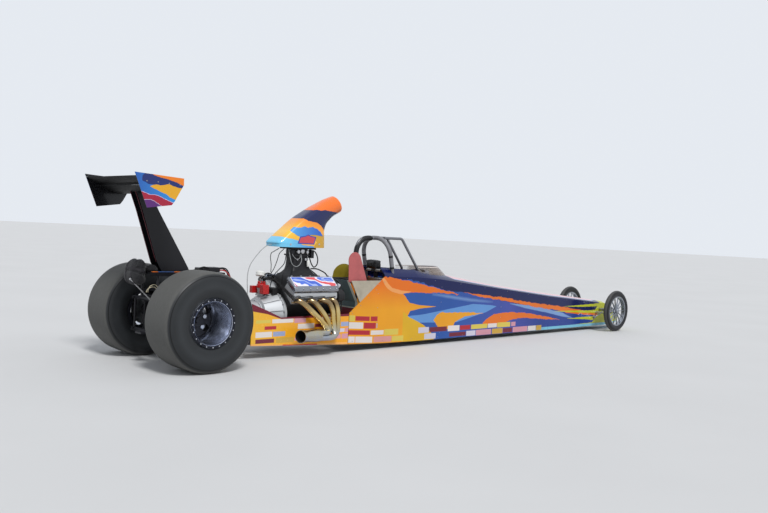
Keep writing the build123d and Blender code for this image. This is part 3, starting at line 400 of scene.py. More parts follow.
# %% Paint of the sides, the cowl and the nose
def body_finish():
    """The flame scheme of the body sides, the cowl and the nose."""
    made = Finish("body paint", Roughness=0.26, Coat_Weight=0.16, Coat_Roughness=0.06, Specular_Ior_Level=0.25)
    x, y, z = made.xyz()
    torn = jx, jz = ragged(made, x, z, 0.05, 9.0)
    calm = ragged(made, x, z, 0.012, 6.0)
    colour = made.mix((x - 4.6).over(1.6), BLUE, PURPLE)
    colour = made.mix((x - 5.35).over(0.7), colour, DEEP_BLUE)

    def paint(mask, tone):
        nonlocal colour
        colour = made.mix(mask, colour, tone)

    def field(tone, point, top, bottom, soft=0.004):
        paint(between(made, *point, top, bottom, soft), tone)

    # light fields in the middle
    field(SKY, calm, [(2.9, 0.36), (3.27, 0.375), (3.73, 0.425), (4.2, 0.475), (4.62, 0.445), (4.7, 0.43)],
        [(2.9, 0.36), (3.1, 0.28), (3.89, 0.255), (4.29, 0.325), (4.48, 0.36), (4.7, 0.43)])
    field(made.mix(0.5, BLUE, PALE_SKY), calm, [(3.4, 0.62), (3.7, 0.6), (4.1, 0.55), (4.5, 0.505), (4.62, 0.49)],
        [(3.4, 0.61), (3.7, 0.565), (4.1, 0.515), (4.5, 0.492), (4.62, 0.49)], 0.03)
    field(made.mix(0.7, BLUE, PALE_SKY), calm, [(5.0, 0.46), (5.3, 0.44), (5.8, 0.375), (6.3, 0.29), (6.6, 0.2)],
        [(5.0, 0.455), (5.4, 0.38), (5.9, 0.305), (6.3, 0.235), (6.6, 0.2)], 0.012)
    # flames of the middle
    field(GOLD, torn, [(3.45, 0.3), (3.5, 0.36), (3.58, 0.385), (3.85, 0.378), (4.1, 0.372), (4.42, 0.345)],
        [(3.45, 0.29), (3.56, 0.18), (3.8, 0.17), (3.86, 0.26), (4.05, 0.32), (4.42, 0.343)])
    field(ORANGE, torn, [(4.42, 0.22), (4.5, 0.27), (4.65, 0.325), (4.9, 0.345), (5.3, 0.325), (5.6, 0.292),
            (6.25, 0.19)], [(4.42, 0.19), (4.9, 0.15), (4.94, 0.215), (5.1, 0.245), (5.4, 0.25), (5.7, 0.225),
            (6.25, 0.188)])
    # the navy top band and its long ragged stripe
    paint((jz - made.line(jx, [(2.0, 0.9), (2.587, 0.822), (3.094, 0.782), (3.398, 0.714), (3.714, 0.648),
            (4.04, 0.622), (4.39, 0.562), (4.75, 0.512), (5.13, 0.455), (5.53, 0.41), (6.24, 0.345), (7.0, 0.3),
            (8.1, 0.25)])).over(0.004), NAVY)
    field(ORANGE, torn, [(4.0, 0.632), (4.4, 0.585), (4.8, 0.55), (5.33, 0.478), (5.72, 0.436), (6.13, 0.397),
            (6.5, 0.355), (6.92, 0.298), (7.3, 0.262)], [(4.0, 0.63), (4.4, 0.556), (4.8, 0.508), (5.33, 0.436),
            (5.72, 0.378), (6.13, 0.336), (6.5, 0.275), (6.92, 0.24), (7.3, 0.21)])
    # the golden tail end with its spike, the orange patch over it and a peach crescent between the two
    warm = made.mix(((z - 0.45) * 3.2).clamped(), GOLD, ORANGE)
    field(warm, calm, [(1.0, 1.0), (2.5, 0.86), (2.62, 0.8), (2.8, 0.7), (2.92, 0.6), (3.0, 0.52), (3.2, 0.487),
            (3.48, 0.464)], [(1.0, -0.5), (2.95, -0.5), (2.96, 0.34), (3.02, 0.425), (3.2, 0.447), (3.48, 0.462)],
        0.003)
    field(made.mix(0.35, GOLD, LIME), calm, [(2.9, 0.42), (3.0, 0.352), (3.14, 0.3), (3.26, 0.25), (3.4, 0.16),
            (3.5, 0.02)], [(2.9, -0.5), (3.5, -0.5)])
    field(ORANGE, torn, [(2.5, 0.84), (2.62, 0.83), (2.93, 0.785), (3.13, 0.753), (3.34, 0.714), (3.73, 0.642),
            (3.9, 0.604)], [(2.5, 0.83), (2.62, 0.72), (2.85, 0.642), (3.1, 0.64), (3.37, 0.632), (3.6, 0.625),
            (3.9, 0.603)])
    field(PEACH, calm, [(2.53, 0.84), (2.57, 0.8), (2.62, 0.755), (2.7, 0.7), (2.85, 0.668), (3.02, 0.652)],
        [(2.53, 0.79), (2.57, 0.74), (2.62, 0.695), (2.7, 0.655), (2.85, 0.625), (3.02, 0.65)])
    # thin green flames and the pale lower edge of the nose
    fx, fz = ragged(made, x, z, 0.02, 14.0)
    for top, bottom in (([(6.35, 0.382), (6.76, 0.388), (7.1, 0.396), (7.7, 0.41)],
                [(6.35, 0.38), (6.76, 0.362), (7.1, 0.358), (7.7, 0.35)]),
            ([(6.1, 0.322), (6.6, 0.312), (7.03, 0.3), (7.7, 0.31)],
                [(6.1, 0.318), (6.6, 0.286), (7.03, 0.262), (7.7, 0.23)]),
            ([(6.45, 0.2), (6.87, 0.205), (7.13, 0.204), (7.7, 0.24)],
                [(6.45, 0.196), (6.87, 0.172), (7.13, 0.15), (7.7, 0.12)]),
            ([(6.7, 0.1), (7.14, 0.112), (7.35, 0.116), (7.7, 0.14)],
                [(6.7, 0.07), (7.14, 0.07), (7.35, 0.06), (7.7, 0.05)])):
        paint(between(made, fx, fz, top, bottom, 0.004), LIME)
    paint((fx - made.line(z, [(0.0, 7.2), (0.12, 7.16), (0.22, 7.32), (0.3, 7.22), (0.4, 7.34)])).over(0.01), LIME)
    paint((x - 5.6).over(0.6) * (made.line(x, [(5.0, 0.1), (8.1, 0.098)]) - z).over(0.004), CYAN)
    # a painted highlight along the crest of the cowl: pale pink with light-blue edges
    off = y.math("ABSOLUTE")
    painted_crest_highlight = made.line(x, [(3.7, 0.03), (3.85, 0.178), (4.75, 0.158), (5.97, 0.13), (7.15, 0.096), (7.45, -0.02)])
    paint((painted_crest_highlight + 0.016 - off).over(0.003) * (x - 3.71).over(0.01), shade(150, 178, 220))
    paint((painted_crest_highlight - off).over(0.003) * (x - 3.71).over(0.01), shade(232, 184, 190))
    # blank plates along the bottom: four rows at the tail, two in the middle, one towards the nose
    low = made.line(x, [(1.9, 0.108), (2.4, 0.078), (2.9, 0.068), (4.0, 0.06), (8.0, 0.056)])
    rows = (2.48 - x).over(0.004) * 2.0 + (5.15 - x).over(0.004) + 1.0
    inside, dice = plate_rows(made, x, z, low, 0.079, rows, 0.27)
    worn = plate_colours(made, dice)
    paint(inside * (5.78 - x).over(0.004), worn)
    tone = made.noise(2.5, 2.0)
    made.set("Base Color", made.mix(0.5, colour, made.mix(tone, shade(200, 200, 200), shade(255, 255, 255)),
            "MULTIPLY"))
    made.set("Roughness", made.noise(30.0, 3.0) * 0.12 + 0.18 + inside * 0.12)
    # the seam of the tail panel, the plates' edges and a slight wave in the thin sheet
    seam = 1.0 - ((x - 2.415 - (z - 0.5) * 0.08).math("ABSOLUTE") - 0.0012).over(0.0012)
    made.bump(made.noise(1.8, 1.0) * 2.0 - seam + inside * 0.12, 0.35, 0.002)
    return made.material


body_paint = body_finish()
print("body paint drawn with", len(body_paint.node_tree.nodes), "nodes")

# %% [markdown]
# Three shapes come back all over a car: things turned on a lathe, tubes along a path, and skins stretched over a
# row of sections. Each gets one helper that leaves a mesh at the origin with its faces pointing out, a material,
# and a body to ride on.

# %% Helpers for shapes
def seated(made, body, node=None):
    """Says which body a piece rides on, and which solid piece it replaces."""
    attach(made, body)
    if node:
        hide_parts(node)
    return made


def linked(name, mesh, material, smooth):
    """A mesh as an object with one material, smooth where its faces meet at a small angle."""
    made = bpy.data.objects.new(name, mesh)
    scene.collection.objects.link(made)
    mesh.materials.clear()
    mesh.materials.append(material)
    for polygon in mesh.polygons:
        polygon.use_smooth = True
    mesh.set_sharp_from_angle(angle=math.radians(smooth))
    return made


def mesh_of(build):
    """Turns a bmesh into a mesh, closed seams welded and faces outwards."""
    bmesh.ops.remove_doubles(build, verts=build.verts, dist=1e-6)
    bmesh.ops.recalc_face_normals(build, faces=build.faces)
    mesh = bpy.data.meshes.new("made")
    build.to_mesh(mesh)
    build.free()
    return mesh


def turned(build, outline, centre, axis, steps=96):
    """A ring or disc about an axis, from an outline of radius and place along the axis."""
    axis = Vector(axis).normalized()
    side = axis.orthogonal().normalized()
    other = axis.cross(side)
    rings = []
    for n in range(steps):
        turn = 2 * math.pi * n / steps
        out = side * math.cos(turn) + other * math.sin(turn)
        rings.append([build.verts.new(Vector(centre) + out * r + axis * a) for r, a in outline])
    count = len(outline)
    for n in range(steps):
        one, two = rings[n], rings[(n + 1) % steps]
        for k in range(count):
            j = (k + 1) % count
            if outline[k][0] > 1e-9 or outline[j][0] > 1e-9:
                build.faces.new((one[k], one[j], two[j], two[k]))
    return build


def stretched(build, rings, capped=True):
    """A skin over a row of closed sections that all have the same number of points."""
    rows = [[build.verts.new(p) for p in ring] for ring in rings]
    for one, two in zip(rows, rows[1:]):
        for k in range(len(one)):
            j = (k + 1) % len(one)
            build.faces.new((one[k], one[j], two[j], two[k]))
    if capped:
        build.faces.new(rows[0])
        build.faces.new(rows[-1])
    return build


def smooth_path(points, steps=8):
    """Points of a smooth curve through the given ones."""
    points = [Vector(p) for p in points]
    out = []
    for n in range(len(points) - 1):
        p0 = points[max(n - 1, 0)]
        p1, p2 = points[n], points[n + 1]
        p3 = points[min(n + 2, len(points) - 1)]
        for k in range(steps):
            t = k / steps
            out.append(0.5 * ((2 * p1) + (p2 - p0) * t + (2 * p0 - 5 * p1 + 4 * p2 - p3) * t * t
                    + (3 * p1 - p0 - 3 * p2 + p3) * t ** 3))
    out.append(points[-1])
    return out


def tube(build, points, radius, sides=16, capped=True):
    """A round tube along points. radius may be one number or one for each point."""
    points = [Vector(p) for p in points]
    radii = radius if isinstance(radius, (list, tuple)) else [radius] * len(points)
    normal = None
    turns = [2 * math.pi * k / sides for k in range(sides)]
    rings = []
    for n, point in enumerate(points):
        along = (points[min(n + 1, len(points) - 1)] - points[max(n - 1, 0)]).normalized()
        if normal is None:
            normal = along.orthogonal().normalized()
        normal = (normal - along * normal.dot(along)).normalized()
        other = along.cross(normal)
        rings.append([point + (normal * math.cos(t) + other * math.sin(t)) * radii[n] for t in turns])
    return stretched(build, rings, capped)


def plate(build, outline, thickness):
    """A flat plate from the corners of one face, thickened along the given vector."""
    low = [build.verts.new(p) for p in outline]
    high = [build.verts.new(Vector(p) + Vector(thickness)) for p in outline]
    build.faces.new(low)
    build.faces.new(high)
    count = len(low)
    for k in range(count):
        j = (k + 1) % count
        build.faces.new((low[k], low[j], high[j], high[k]))
    return build


def brick(build, low, high):
    """A box between two corners, given from the rear axle."""
    made = [build.verts.new(at(x, y, z)) for z in (low[2], high[2]) for y in (low[1], high[1])
        for x in (low[0], high[0])]
    for face in ((0, 1, 3, 2), (4, 5, 7, 6), (0, 1, 5, 4), (2, 3, 7, 6), (0, 2, 6, 4), (1, 3, 7, 5)):
        build.faces.new([made[n] for n in face])
    return build


def softened(obj, width, segments=2):
    """Rounds an object's edges with a bevel, as a finished part's edges are."""
    bevel = obj.modifiers.new("edges", "BEVEL")
    bevel.width = width
    bevel.segments = segments
    bevel.limit_method = "ANGLE"
    bevel.angle_limit = math.radians(30)
    bevel.harden_normals = False
    return obj


def piece(name, material, shapes, smooth=40, node=None, body="chassis", edge=0, segments=2):
    """A piece that rides on a body, made of shapes: each is a helper with what it is given. edge rounds its edges."""
    build = bmesh.new()
    for shape, *given in shapes:
        shape(build, *given)
    made = seated(linked(name, mesh_of(build), material, smooth), body, node)
    if edge:
        softened(made, edge, segments)
    return made


def frozen(obj):
    """The evaluated mesh of an object, and the object left without modifiers."""
    graph = bpy.context.evaluated_depsgraph_get()
    mesh = bpy.data.meshes.new_from_object(obj.evaluated_get(graph), depsgraph=graph)
    obj.modifiers.clear()
    obj.data = mesh
    return mesh


def paint_node(finish, *names):
    """Gives carried-over solid pieces a finish."""
    for name in names:
        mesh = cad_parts[name].data
        mesh.materials.clear()
        mesh.materials.append(finish)


print("helpers for turned, stretched and tubular shapes are ready")

# %% [markdown]
# Bolts, rivets and lug nuts repeat along a path, so Geometry Nodes make them. The tree takes a path, puts a number
# of points on it, sets one fastener on each and turns them all to face one way. Its result is read back as a plain
# mesh, because a finished piece should need no modifier.

# %% A tree that sets fasteners along a path
def wired(tree, kinds, links):
    """Adds nodes to a tree under short names and joins them: a link is a node, its output, a node and its input."""
    made = {name: tree.nodes.new(kind) for name, kind in kinds.items()}
    for one, output, two, socket in links:
        tree.links.new(made[one].outputs[output], made[two].inputs[socket])
    return made


def fastener_tree():
    tree = bpy.data.node_groups.new("fasteners along a path", "GeometryNodeTree")
    for label, kind, value in (("Path", "Geometry", None), ("Count", "Int", 8), ("Sides", "Int", 6),
            ("Head radius", "Float", 0.006), ("Head height", "Float", 0.005), ("Washer radius", "Float", 0.009),
            ("Facing", "Vector", (0, 0, 1)), ("Finish", "Material", None)):
        made = tree.interface.new_socket(name=label, in_out="INPUT", socket_type="NodeSocket" + kind)
        if value is not None:
            made.default_value = value
    tree.interface.new_socket(name="Fasteners", in_out="OUTPUT", socket_type="NodeSocketGeometry")
    nodes = wired(tree, {"given": "NodeGroupInput", "result": "NodeGroupOutput",
            "curve": "GeometryNodeMeshToCurve", "points": "GeometryNodeResampleCurve",
            "head": "GeometryNodeMeshCylinder", "washer": "GeometryNodeMeshCylinder", "thin": "ShaderNodeMath",
            "both": "GeometryNodeJoinGeometry", "turn": "FunctionNodeAlignRotationToVector",
            "setting": "GeometryNodeInstanceOnPoints", "real": "GeometryNodeRealizeInstances",
            "coat": "GeometryNodeSetMaterial"}, (("given", "Path", "curve", "Mesh"),
            ("curve", 0, "points", "Curve"), ("given", "Count", "points", "Count"),
            ("given", "Sides", "head", "Vertices"), ("given", "Head radius", "head", "Radius"),
            ("given", "Head height", "head", "Depth"), ("given", "Washer radius", "washer", "Radius"),
            ("given", "Head height", "thin", 0), ("thin", 0, "washer", "Depth"), ("head", "Mesh", "both", 0),
            ("washer", "Mesh", "both", 0), ("points", "Curve", "setting", "Points"),
            ("both", 0, "setting", "Instance"), ("given", "Facing", "turn", "Vector"),
            ("turn", 0, "setting", "Rotation"), ("setting", 0, "real", 0), ("real", 0, "coat", "Geometry"),
            ("given", "Finish", "coat", "Material"), ("coat", 0, "result", 0)))
    nodes["washer"].inputs["Vertices"].default_value = 12
    nodes["thin"].operation = "MULTIPLY"
    nodes["thin"].inputs[1].default_value = 0.35
    nodes["turn"].axis = "Z"
    return tree


FASTENERS = fastener_tree()


def baked(path_mesh, tree, values):
    """Runs a tree on a path and returns the result as a plain mesh. The helper object is removed."""
    holder = bpy.data.objects.new("path holder", path_mesh)
    scene.collection.objects.link(holder)
    modifier = holder.modifiers.new("tree", "NODES")
    modifier.node_group = tree
    for item in tree.interface.items_tree:
        if item.in_out == "INPUT" and item.name in values:
            modifier[item.identifier] = values[item.name]
    result = frozen(holder)
    bpy.data.objects.remove(holder)
    return result


def path_mesh(points, closed=False):
    """A row of points joined by edges, for a tree to follow."""
    mesh = bpy.data.meshes.new("path")
    edges = [(n, n + 1) for n in range(len(points) - 1)]
    if closed:
        edges.append((len(points) - 1, 0))
    mesh.from_pydata([tuple(p) for p in points], edges, [])
    return mesh


def circle_points(centre, axis, radius, start=0.0, steps=72):
    """Points round a circle."""
    side = Vector((1, 0, 0)) if abs(axis.x) < 0.9 else Vector((0, 0, 1))
    other = axis.cross(side)
    turns = [start + 2 * math.pi * k / steps for k in range(steps)]
    return [centre + (side * math.cos(t) + other * math.sin(t)) * radius for t in turns]


def fasteners(name, rows, finish, body="chassis"):
    """One piece with many fasteners. A row is points, whether they are a ring, count, facing, head radius, height,
    washer radius and sides."""
    joined = bmesh.new()
    for points, closed, count, facing, head, height, washer, sides in rows:
        mesh = baked(path_mesh(points, closed), FASTENERS, {"Count": count, "Sides": sides, "Head radius": head,
                "Head height": height, "Washer radius": float(washer), "Facing": tuple(facing), "Finish": finish})
        joined.from_mesh(mesh)
        bpy.data.meshes.remove(mesh)
    mesh = bpy.data.meshes.new(name)
    joined.to_mesh(mesh)
    joined.free()
    return seated(linked(name, mesh, finish, 40), body)


print("tree ready, inputs:", [i.name for i in FASTENERS.interface.items_tree if i.in_out == "INPUT"])

# %% [markdown]
# The control cable leaves the scoop's base and hangs in an arch down to the gearbox. A cable is one smooth curve
# with a round bevel, and its route is the one that the solid model's cable follows.

# %% Control cable
CABLE_ROUTE = [(1.169, 0, 1.15), (1.126, 0, 1.148), (1.082, 0.002, 1.122), (1.04, 0.006, 1.086),
    (1.004, 0.01, 1.044), (0.968, 0.014, 0.998), (0.932, 0.016, 0.952), (0.906, 0.014, 0.896),
    (0.892, 0.01, 0.832), (0.888, 0.005, 0.768), (0.89, 0.001, 0.708), (0.896, 0, 0.64), (0.896, 0, 0.5513)]
CABLE_DIAMETER = 0.008


def control_cable():
    data = bpy.data.curves.new("control cable", "CURVE")
    data.dimensions = "3D"
    spline = data.splines.new("NURBS")
    spline.points.add(len(CABLE_ROUTE) - 1)
    for point, place in zip(spline.points, CABLE_ROUTE):
        point.co = (*at(*place), 1)
    spline.order_u = 3
    spline.use_endpoint_u = True
    data.bevel_depth = CABLE_DIAMETER / 2
    data.bevel_resolution = 6
    data.use_fill_caps = True
    data.materials.append(cable_grey)
    cable = bpy.data.objects.new("cable_to_gearbox", data)
    scene.collection.objects.link(cable)
    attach(cable, "chassis")
    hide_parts("control_cable")
    at(*CABLE_ROUTE[0])


control_cable()

# %% [markdown]
# The air scoop is one smooth moulding that narrows as it rises and leans forward to a round mouth. It is stretched
# over sections given by their rear and front edges, with a skin inside it and a rolled lip between the two.

# %% Air scoop
# x and z of the rear edge, x and z of the front edge, width, roundness of the corners
SCOOP_ROWS = [(1.17, 1.134, 1.8, 1.134, 0.3, 0.25), (1.169, 1.16, 1.799, 1.16, 0.3, 0.25),
    (1.168, 1.184, 1.798, 1.184, 0.3, 0.25), (1.224, 1.237, 1.797, 1.233, 0.296, 0.3),
    (1.345, 1.34, 1.797, 1.283, 0.287, 0.42), (1.475, 1.447, 1.801, 1.326, 0.276, 0.58),
    (1.655, 1.562, 1.832, 1.388, 0.254, 0.76), (1.75, 1.617, 1.886, 1.434, 0.24, 0.88),
    (1.845, 1.667, 1.95, 1.479, 0.226, 0.96), (1.958, 1.711, 2.06, 1.533, 0.204, 1.0), ]


def scoop_ring(row, wall, steps=64):
    """A section of the scoop: a superellipse that grows rounder towards the mouth."""
    x0, z0, x1, z1, width, roundness = row
    rear, front = at(x0, 0, z0), at(x1, 0, z1)
    middle = (rear + front) / 2
    along = (front - rear).normalized()
    half_long = (front - rear).length / 2 - wall
    half_wide = width / 2 - wall
    power = 2 / (2 + (1 - roundness) * 5)
    ring = []
    for k in range(steps):
        turn = 2 * math.pi * k / steps
        c, s = math.cos(turn), math.sin(turn)
        ring.append(middle + along * math.copysign(abs(c) ** power, c) * half_long + Vector((0, 1, 0))
            * math.copysign(abs(s) ** power, s) * half_wide)
    return ring


def scoop_rows(steps=6):
    """The given rows with smooth ones between them."""
    columns = [smooth_path([(row[i], row[i + 1], 0) for row in SCOOP_ROWS], steps) for i in (0, 2, 4)]
    return [(a.x, a.y, b.x, b.y, c.x, min(c.y, 1.0)) for a, b, c in zip(*columns)]


def scoop_rings():
    """The outer skin up to the mouth, a rolled lip, and the inner skin back down."""
    rows = scoop_rows()
    outer = [scoop_ring(row, 0) for row in rows]
    mouth = (outer[-1][0] - outer[-2][0]).normalized()
    lip = [[p + mouth * 0.004 for p in scoop_ring(rows[-1], wall)] for wall in (0.002, 0.006)]
    return [*outer, *lip, *(scoop_ring(row, 0.008) for row in reversed(rows[3:]))]


def scoop_finish():
    """Orange crown, navy band, yellow flank with a blue cloud and a blank plate, and a pale blue skirt."""
    made = Finish("scoop paint", Roughness=0.24, Coat_Weight=0.4, Coat_Roughness=0.06, Specular_Ior_Level=0.4)
    x, y, z = made.xyz()
    jx, jz = ragged(made, x, z, 0.018, 22.0)
    colour = made.ramp(((z - 1.15) * 2.6 + (x - 1.4) * 0.5).clamped(),
        [(0, 236, 168, 44), (0.35, 244, 192, 66), (0.7, 240, 150, 44), (1, 236, 120, 40)])
    corner = (jx - made.line(jz, [(1.13, 1.6), (1.19, 1.655), (1.24, 1.6), (1.28, 1.56)])).over(0.003)
    colour = made.mix(corner * (1.28 - jz).over(0.003), colour, shade(200, 152, 40))
    cloud_top = [(1.312, 1.318), (1.33, 1.342), (1.35, 1.352), (1.4, 1.345), (1.439, 1.344), (1.481, 1.359),
        (1.525, 1.347), (1.593, 1.357), (1.656, 1.339), (1.701, 1.313), (1.74, 1.268)]
    cloud_low = [(1.312, 1.316), (1.33, 1.292), (1.355, 1.276), (1.395, 1.258), (1.448, 1.24), (1.515, 1.262),
        (1.581, 1.274), (1.66, 1.272), (1.74, 1.262)]
    flank = (y.math("ABSOLUTE") - 0.105 - (jx - x) * 0.6).over(0.006)
    shadow = between(made, jx - 0.004, jz + 0.004, cloud_top, cloud_low, 0.003) * flank
    colour = made.mix(shadow, colour, shade(120, 112, 70))
    colour = made.mix(between(made, jx, jz, cloud_top, cloud_low, 0.003) * flank, colour, made.mix(((x - 1.26)
            * 2.4).clamped(), shade(86, 166, 226), shade(42, 96, 190)))
    band_low = [(1.0, 1.36), (1.283, 1.431), (1.349, 1.441), (1.417, 1.444), (1.494, 1.441), (1.538, 1.418),
        (1.652, 1.408), (1.715, 1.372), (1.8, 1.3), (2.2, 1.3)]
    band_top = [(1.0, 1.36), (1.3, 1.45), (1.396, 1.504), (1.48, 1.522), (1.566, 1.53), (1.67, 1.546),
        (1.732, 1.541), (1.776, 1.549), (1.849, 1.54), (1.959, 1.532), (2.2, 1.525)]
    colour = made.mix(between(made, jx, jz, band_top, band_low, 0.003), colour, NAVY)
    colour = made.mix((jz - made.line(jx, band_top)).over(0.003) * (z - 1.44).over(0.01), colour,
        shade(236, 112, 28))
    skirt_top = [(1.0, 1.234), (1.115, 1.232), (1.172, 1.231), (1.212, 1.245), (1.245, 1.236), (1.279, 1.226),
        (1.346, 1.221), (1.4, 1.205), (1.46, 1.16), (1.62, 1.15), (1.64, 1.0)]
    colour = made.mix((made.line(jx, skirt_top) - jz).over(0.003) * (1.635 - jx).over(0.003), colour, made.mix(((x
            - 1.3) * 3.0).clamped(), shade(112, 196, 232), shade(64, 128, 200)))
    for tone, top, low in ((shade(52, 62, 150), [(1.398, 1.18), (1.425, 1.248), (1.5, 1.26), (1.535, 1.274),
                (1.58, 1.26), (1.648, 1.252)], [(1.398, 1.172), (1.62, 1.168), (1.648, 1.25)]),
            (shade(196, 66, 76), [(1.418, 1.19), (1.437, 1.238), (1.5, 1.249), (1.535, 1.263), (1.58, 1.249),
                (1.631, 1.242)], [(1.418, 1.184), (1.61, 1.18), (1.631, 1.24)])):
        colour = made.mix(between(made, x, z, top, low, 0.003) * flank, colour, tone)
    made.set("Base Color", colour)
    made.set("Roughness", made.noise(40.0, 3.0) * 0.1 + 0.2)
    made.bump(made.noise(2.2, 1.0), 0.3, 0.002)
    return made.material


scoop = piece("air_scoop", scoop_finish(), [(stretched, scoop_rings())], 50, "scoop")
print("air scoop of", len(scoop.data.polygons), "faces")

# %% [markdown]
# The rear tyres are turned shapes: a nearly flat face, a thin raised line where the mould halves met at the
# shoulder, a bulging side and a bead that tucks in behind the wheel's lip.

# %% Rear and front tyres
REAR_TYRE = [(0.2045, 0.17), (0.2045, 0.204), (0.212, 0.2065), (0.224, 0.208), (0.232, 0.215), (0.262, 0.224),
    (0.3, 0.2305), (0.335, 0.2316), (0.365, 0.2295), (0.392, 0.2245), (0.412, 0.2175), (0.4185, 0.2145),
    (0.421, 0.2152), (0.4232, 0.212), (0.434, 0.204), (0.444, 0.192), (0.4505, 0.176), (0.4545, 0.15),
    (0.4562, 0.1), (0.457, 0.04), (0.457, 0.0)]
FRONT_TYRE = [(0.2175, 0.018), (0.2175, 0.0252), (0.222, 0.0262), (0.23, 0.029), (0.248, 0.035), (0.266, 0.0376),
    (0.282, 0.036), (0.2885, 0.033), (0.2905, 0.0334), (0.2925, 0.0312), (0.302, 0.0225), (0.3075, 0.015),
    (0.3098, 0.007), (0.31, 0.0)]


def tyre(build, profile, centre, wall):
    """Turns a tyre with an inner skin, open to the rim."""
    outer = profile[:2] + [(p.x, p.y) for p in smooth_path([(r, a, 0) for r, a in profile[2:]], 3)]
    inner = [(max(r - wall, profile[0][0]), max(a - wall, 0.0)) for r, a in outer[3:]]
    ring = outer + [(r, -a) for r, a in reversed(outer[:-1])]
    hollow = [(r, -a) for r, a in inner] + inner[-2::-1]
    turned(build, ring + hollow, centre, (0, 1, 0), 128)


slicks = piece("slicks", slick_rubber, [(tyre, REAR_TYRE, at(0, side * REAR_WHEEL_Y, REAR_AXLE_Z), 0.012)
        for side in RIGHT_LEFT], 28, "rear_tyres", "rear_axle")
for side_name, side in SIDES:
    piece(f"front_ring_{side_name}", front_rubber, [(tyre, FRONT_TYRE, at(FRONT_AXLE[0], side * FRONT_WHEEL_Y,
            FRONT_AXLE[1]), 0.006)], 28, f"front_tyre_{side_name}", f"front_wheel_{side_name}")
print("four tyres turned, the slicks with", len(slicks.data.polygons), "faces")

# %% [markdown]
# The low panels beside the engine carry the same blank plates, four rows of them, over gold. A maroon wedge leads
# up towards the tyre, and a pale orange strip lies along the bottom.

# %% Panels beside the engine
def bay_finish():
    made = Finish("bay panel paint", Roughness=0.26, Coat_Weight=0.3, Coat_Roughness=0.08, Specular_Ior_Level=0.35)
    x, _, z = made.xyz()
    colour = made.mix((x - 0.9).over(1.2), shade(236, 190, 60), GOLD)
    inside, dice = plate_rows(made, x, z, 0.15, 0.066, 4.0, 0.21, 7.0)
    colour = made.mix(inside * (x - 0.81).over(0.01), colour, plate_colours(made, dice))
    wedge = (z - made.line(x, [(0.7, 0.5), (0.95, 0.455), (1.12, 0.4), (2.1, 0.4)])).over(0.003)
    colour = made.mix(wedge, colour, MAROON)
    low = (made.line(x, [(0.7, 0.165), (1.3, 0.128), (2.1, 0.112)]) - z).over(0.003)
    colour = made.mix(low, colour, made.mix((x - 1.15).over(0.006) * (1.6 - x).over(0.006), shade(236, 170, 90),
            shade(206, 40, 40)))
    made.set("Base Color", colour)
    made.set("Roughness", made.noise(30.0, 3.0) * 0.12 + 0.2)
    made.bump(made.noise(1.8, 1.0) * 2.0 + inside * 0.15, 0.3, 0.002)
    return made.material


bay_paint = bay_finish()
print("bay panels carry four rows of blank plates")

# %% [markdown]
# Each end plate of the wing is painted outside only: blue with a navy sweep, an orange corner, a gold patch with a
# ragged edge, and crimson and purple bands under a pale outline. Its inner face is black. The side that a face is
# on comes from the point's distance to the middle plane.

# %% End plates, fins and panels round the cockpit
def endplate_finish():
    made = Finish("end plate paint", Roughness=0.28, Coat_Weight=0.3, Coat_Roughness=0.08, Specular_Ior_Level=0.35)
    x, y, z = made.xyz()
    jx, jz = ragged(made, x, z, 0.012, 34.0)
    left, right = -0.7, -0.1
    colour = made.mix(((x + 0.62) * 3.0).clamped(), shade(36, 92, 172), shade(44, 134, 206))
    navy = between(made, jx, jz, [(-0.575, 1.722), (-0.5, 1.8), (right, 1.8)],
        [(-0.575, 1.68), (-0.54, 1.668), (-0.513, 1.653), (-0.377, 1.65), (right, 1.61)], 0.003)
    colour = made.mix(navy, colour, shade(24, 40, 104))
    orange_line = [(left, 1.8), (-0.48, 1.742), (-0.457, 1.733), (-0.38, 1.716), (-0.318, 1.706), (-0.255, 1.69),
        (-0.175, 1.662), (right, 1.65)]
    colour = made.mix((jz - made.line(jx, orange_line)).over(0.003), colour, shade(230, 124, 26))
    gold_top = [(-0.5, 1.637), (-0.47, 1.65), (-0.438, 1.656), (-0.4, 1.65), (-0.362, 1.657), (-0.316, 1.669),
        (-0.28, 1.652), (-0.253, 1.646), (-0.189, 1.637), (right, 1.63)]
    gold_low = [(-0.5, 1.636), (-0.45, 1.616), (-0.405, 1.598), (-0.343, 1.577), (-0.311, 1.556), (-0.247, 1.528),
        (-0.19, 1.51), (right, 1.49)]
    colour = made.mix(between(made, jx, jz, gold_top, gold_low, 0.003), colour, shade(222, 162, 30))
    line_one = [(left, 1.615), (-0.558, 1.583), (-0.494, 1.564), (-0.45, 1.566), (-0.403, 1.556), (-0.356, 1.534),
        (-0.262, 1.503), (right, 1.45)]
    line_two = [(left, 1.535), (-0.544, 1.519), (-0.492, 1.523), (-0.46, 1.512), (-0.431, 1.498), (-0.369, 1.464),
        (right, 1.4)]
    colour = made.mix((made.line(jx, line_one) - jz).over(0.003), colour, shade(160, 20, 52))
    colour = made.mix((made.line(jx, line_two) - jz).over(0.003), colour, shade(84, 30, 108))
    for drawn in (line_one, line_two):
        edge = (0.002 - (made.line(jx, drawn) - jz).math("ABSOLUTE")).over(0.001)
        colour = made.mix(edge, colour, shade(196, 186, 214))
    outside = (y.math("ABSOLUTE") - 0.5055).over(0.0005)
    colour = made.mix(outside, shade(16, 16, 20), colour)
    made.set("Base Color", colour)
    made.set("Roughness", made.noise(30.0, 3.0) * 0.1 + 0.22)
    made.bump(made.noise(6.0, 1.0), 0.12, 0.001)
    return made.material


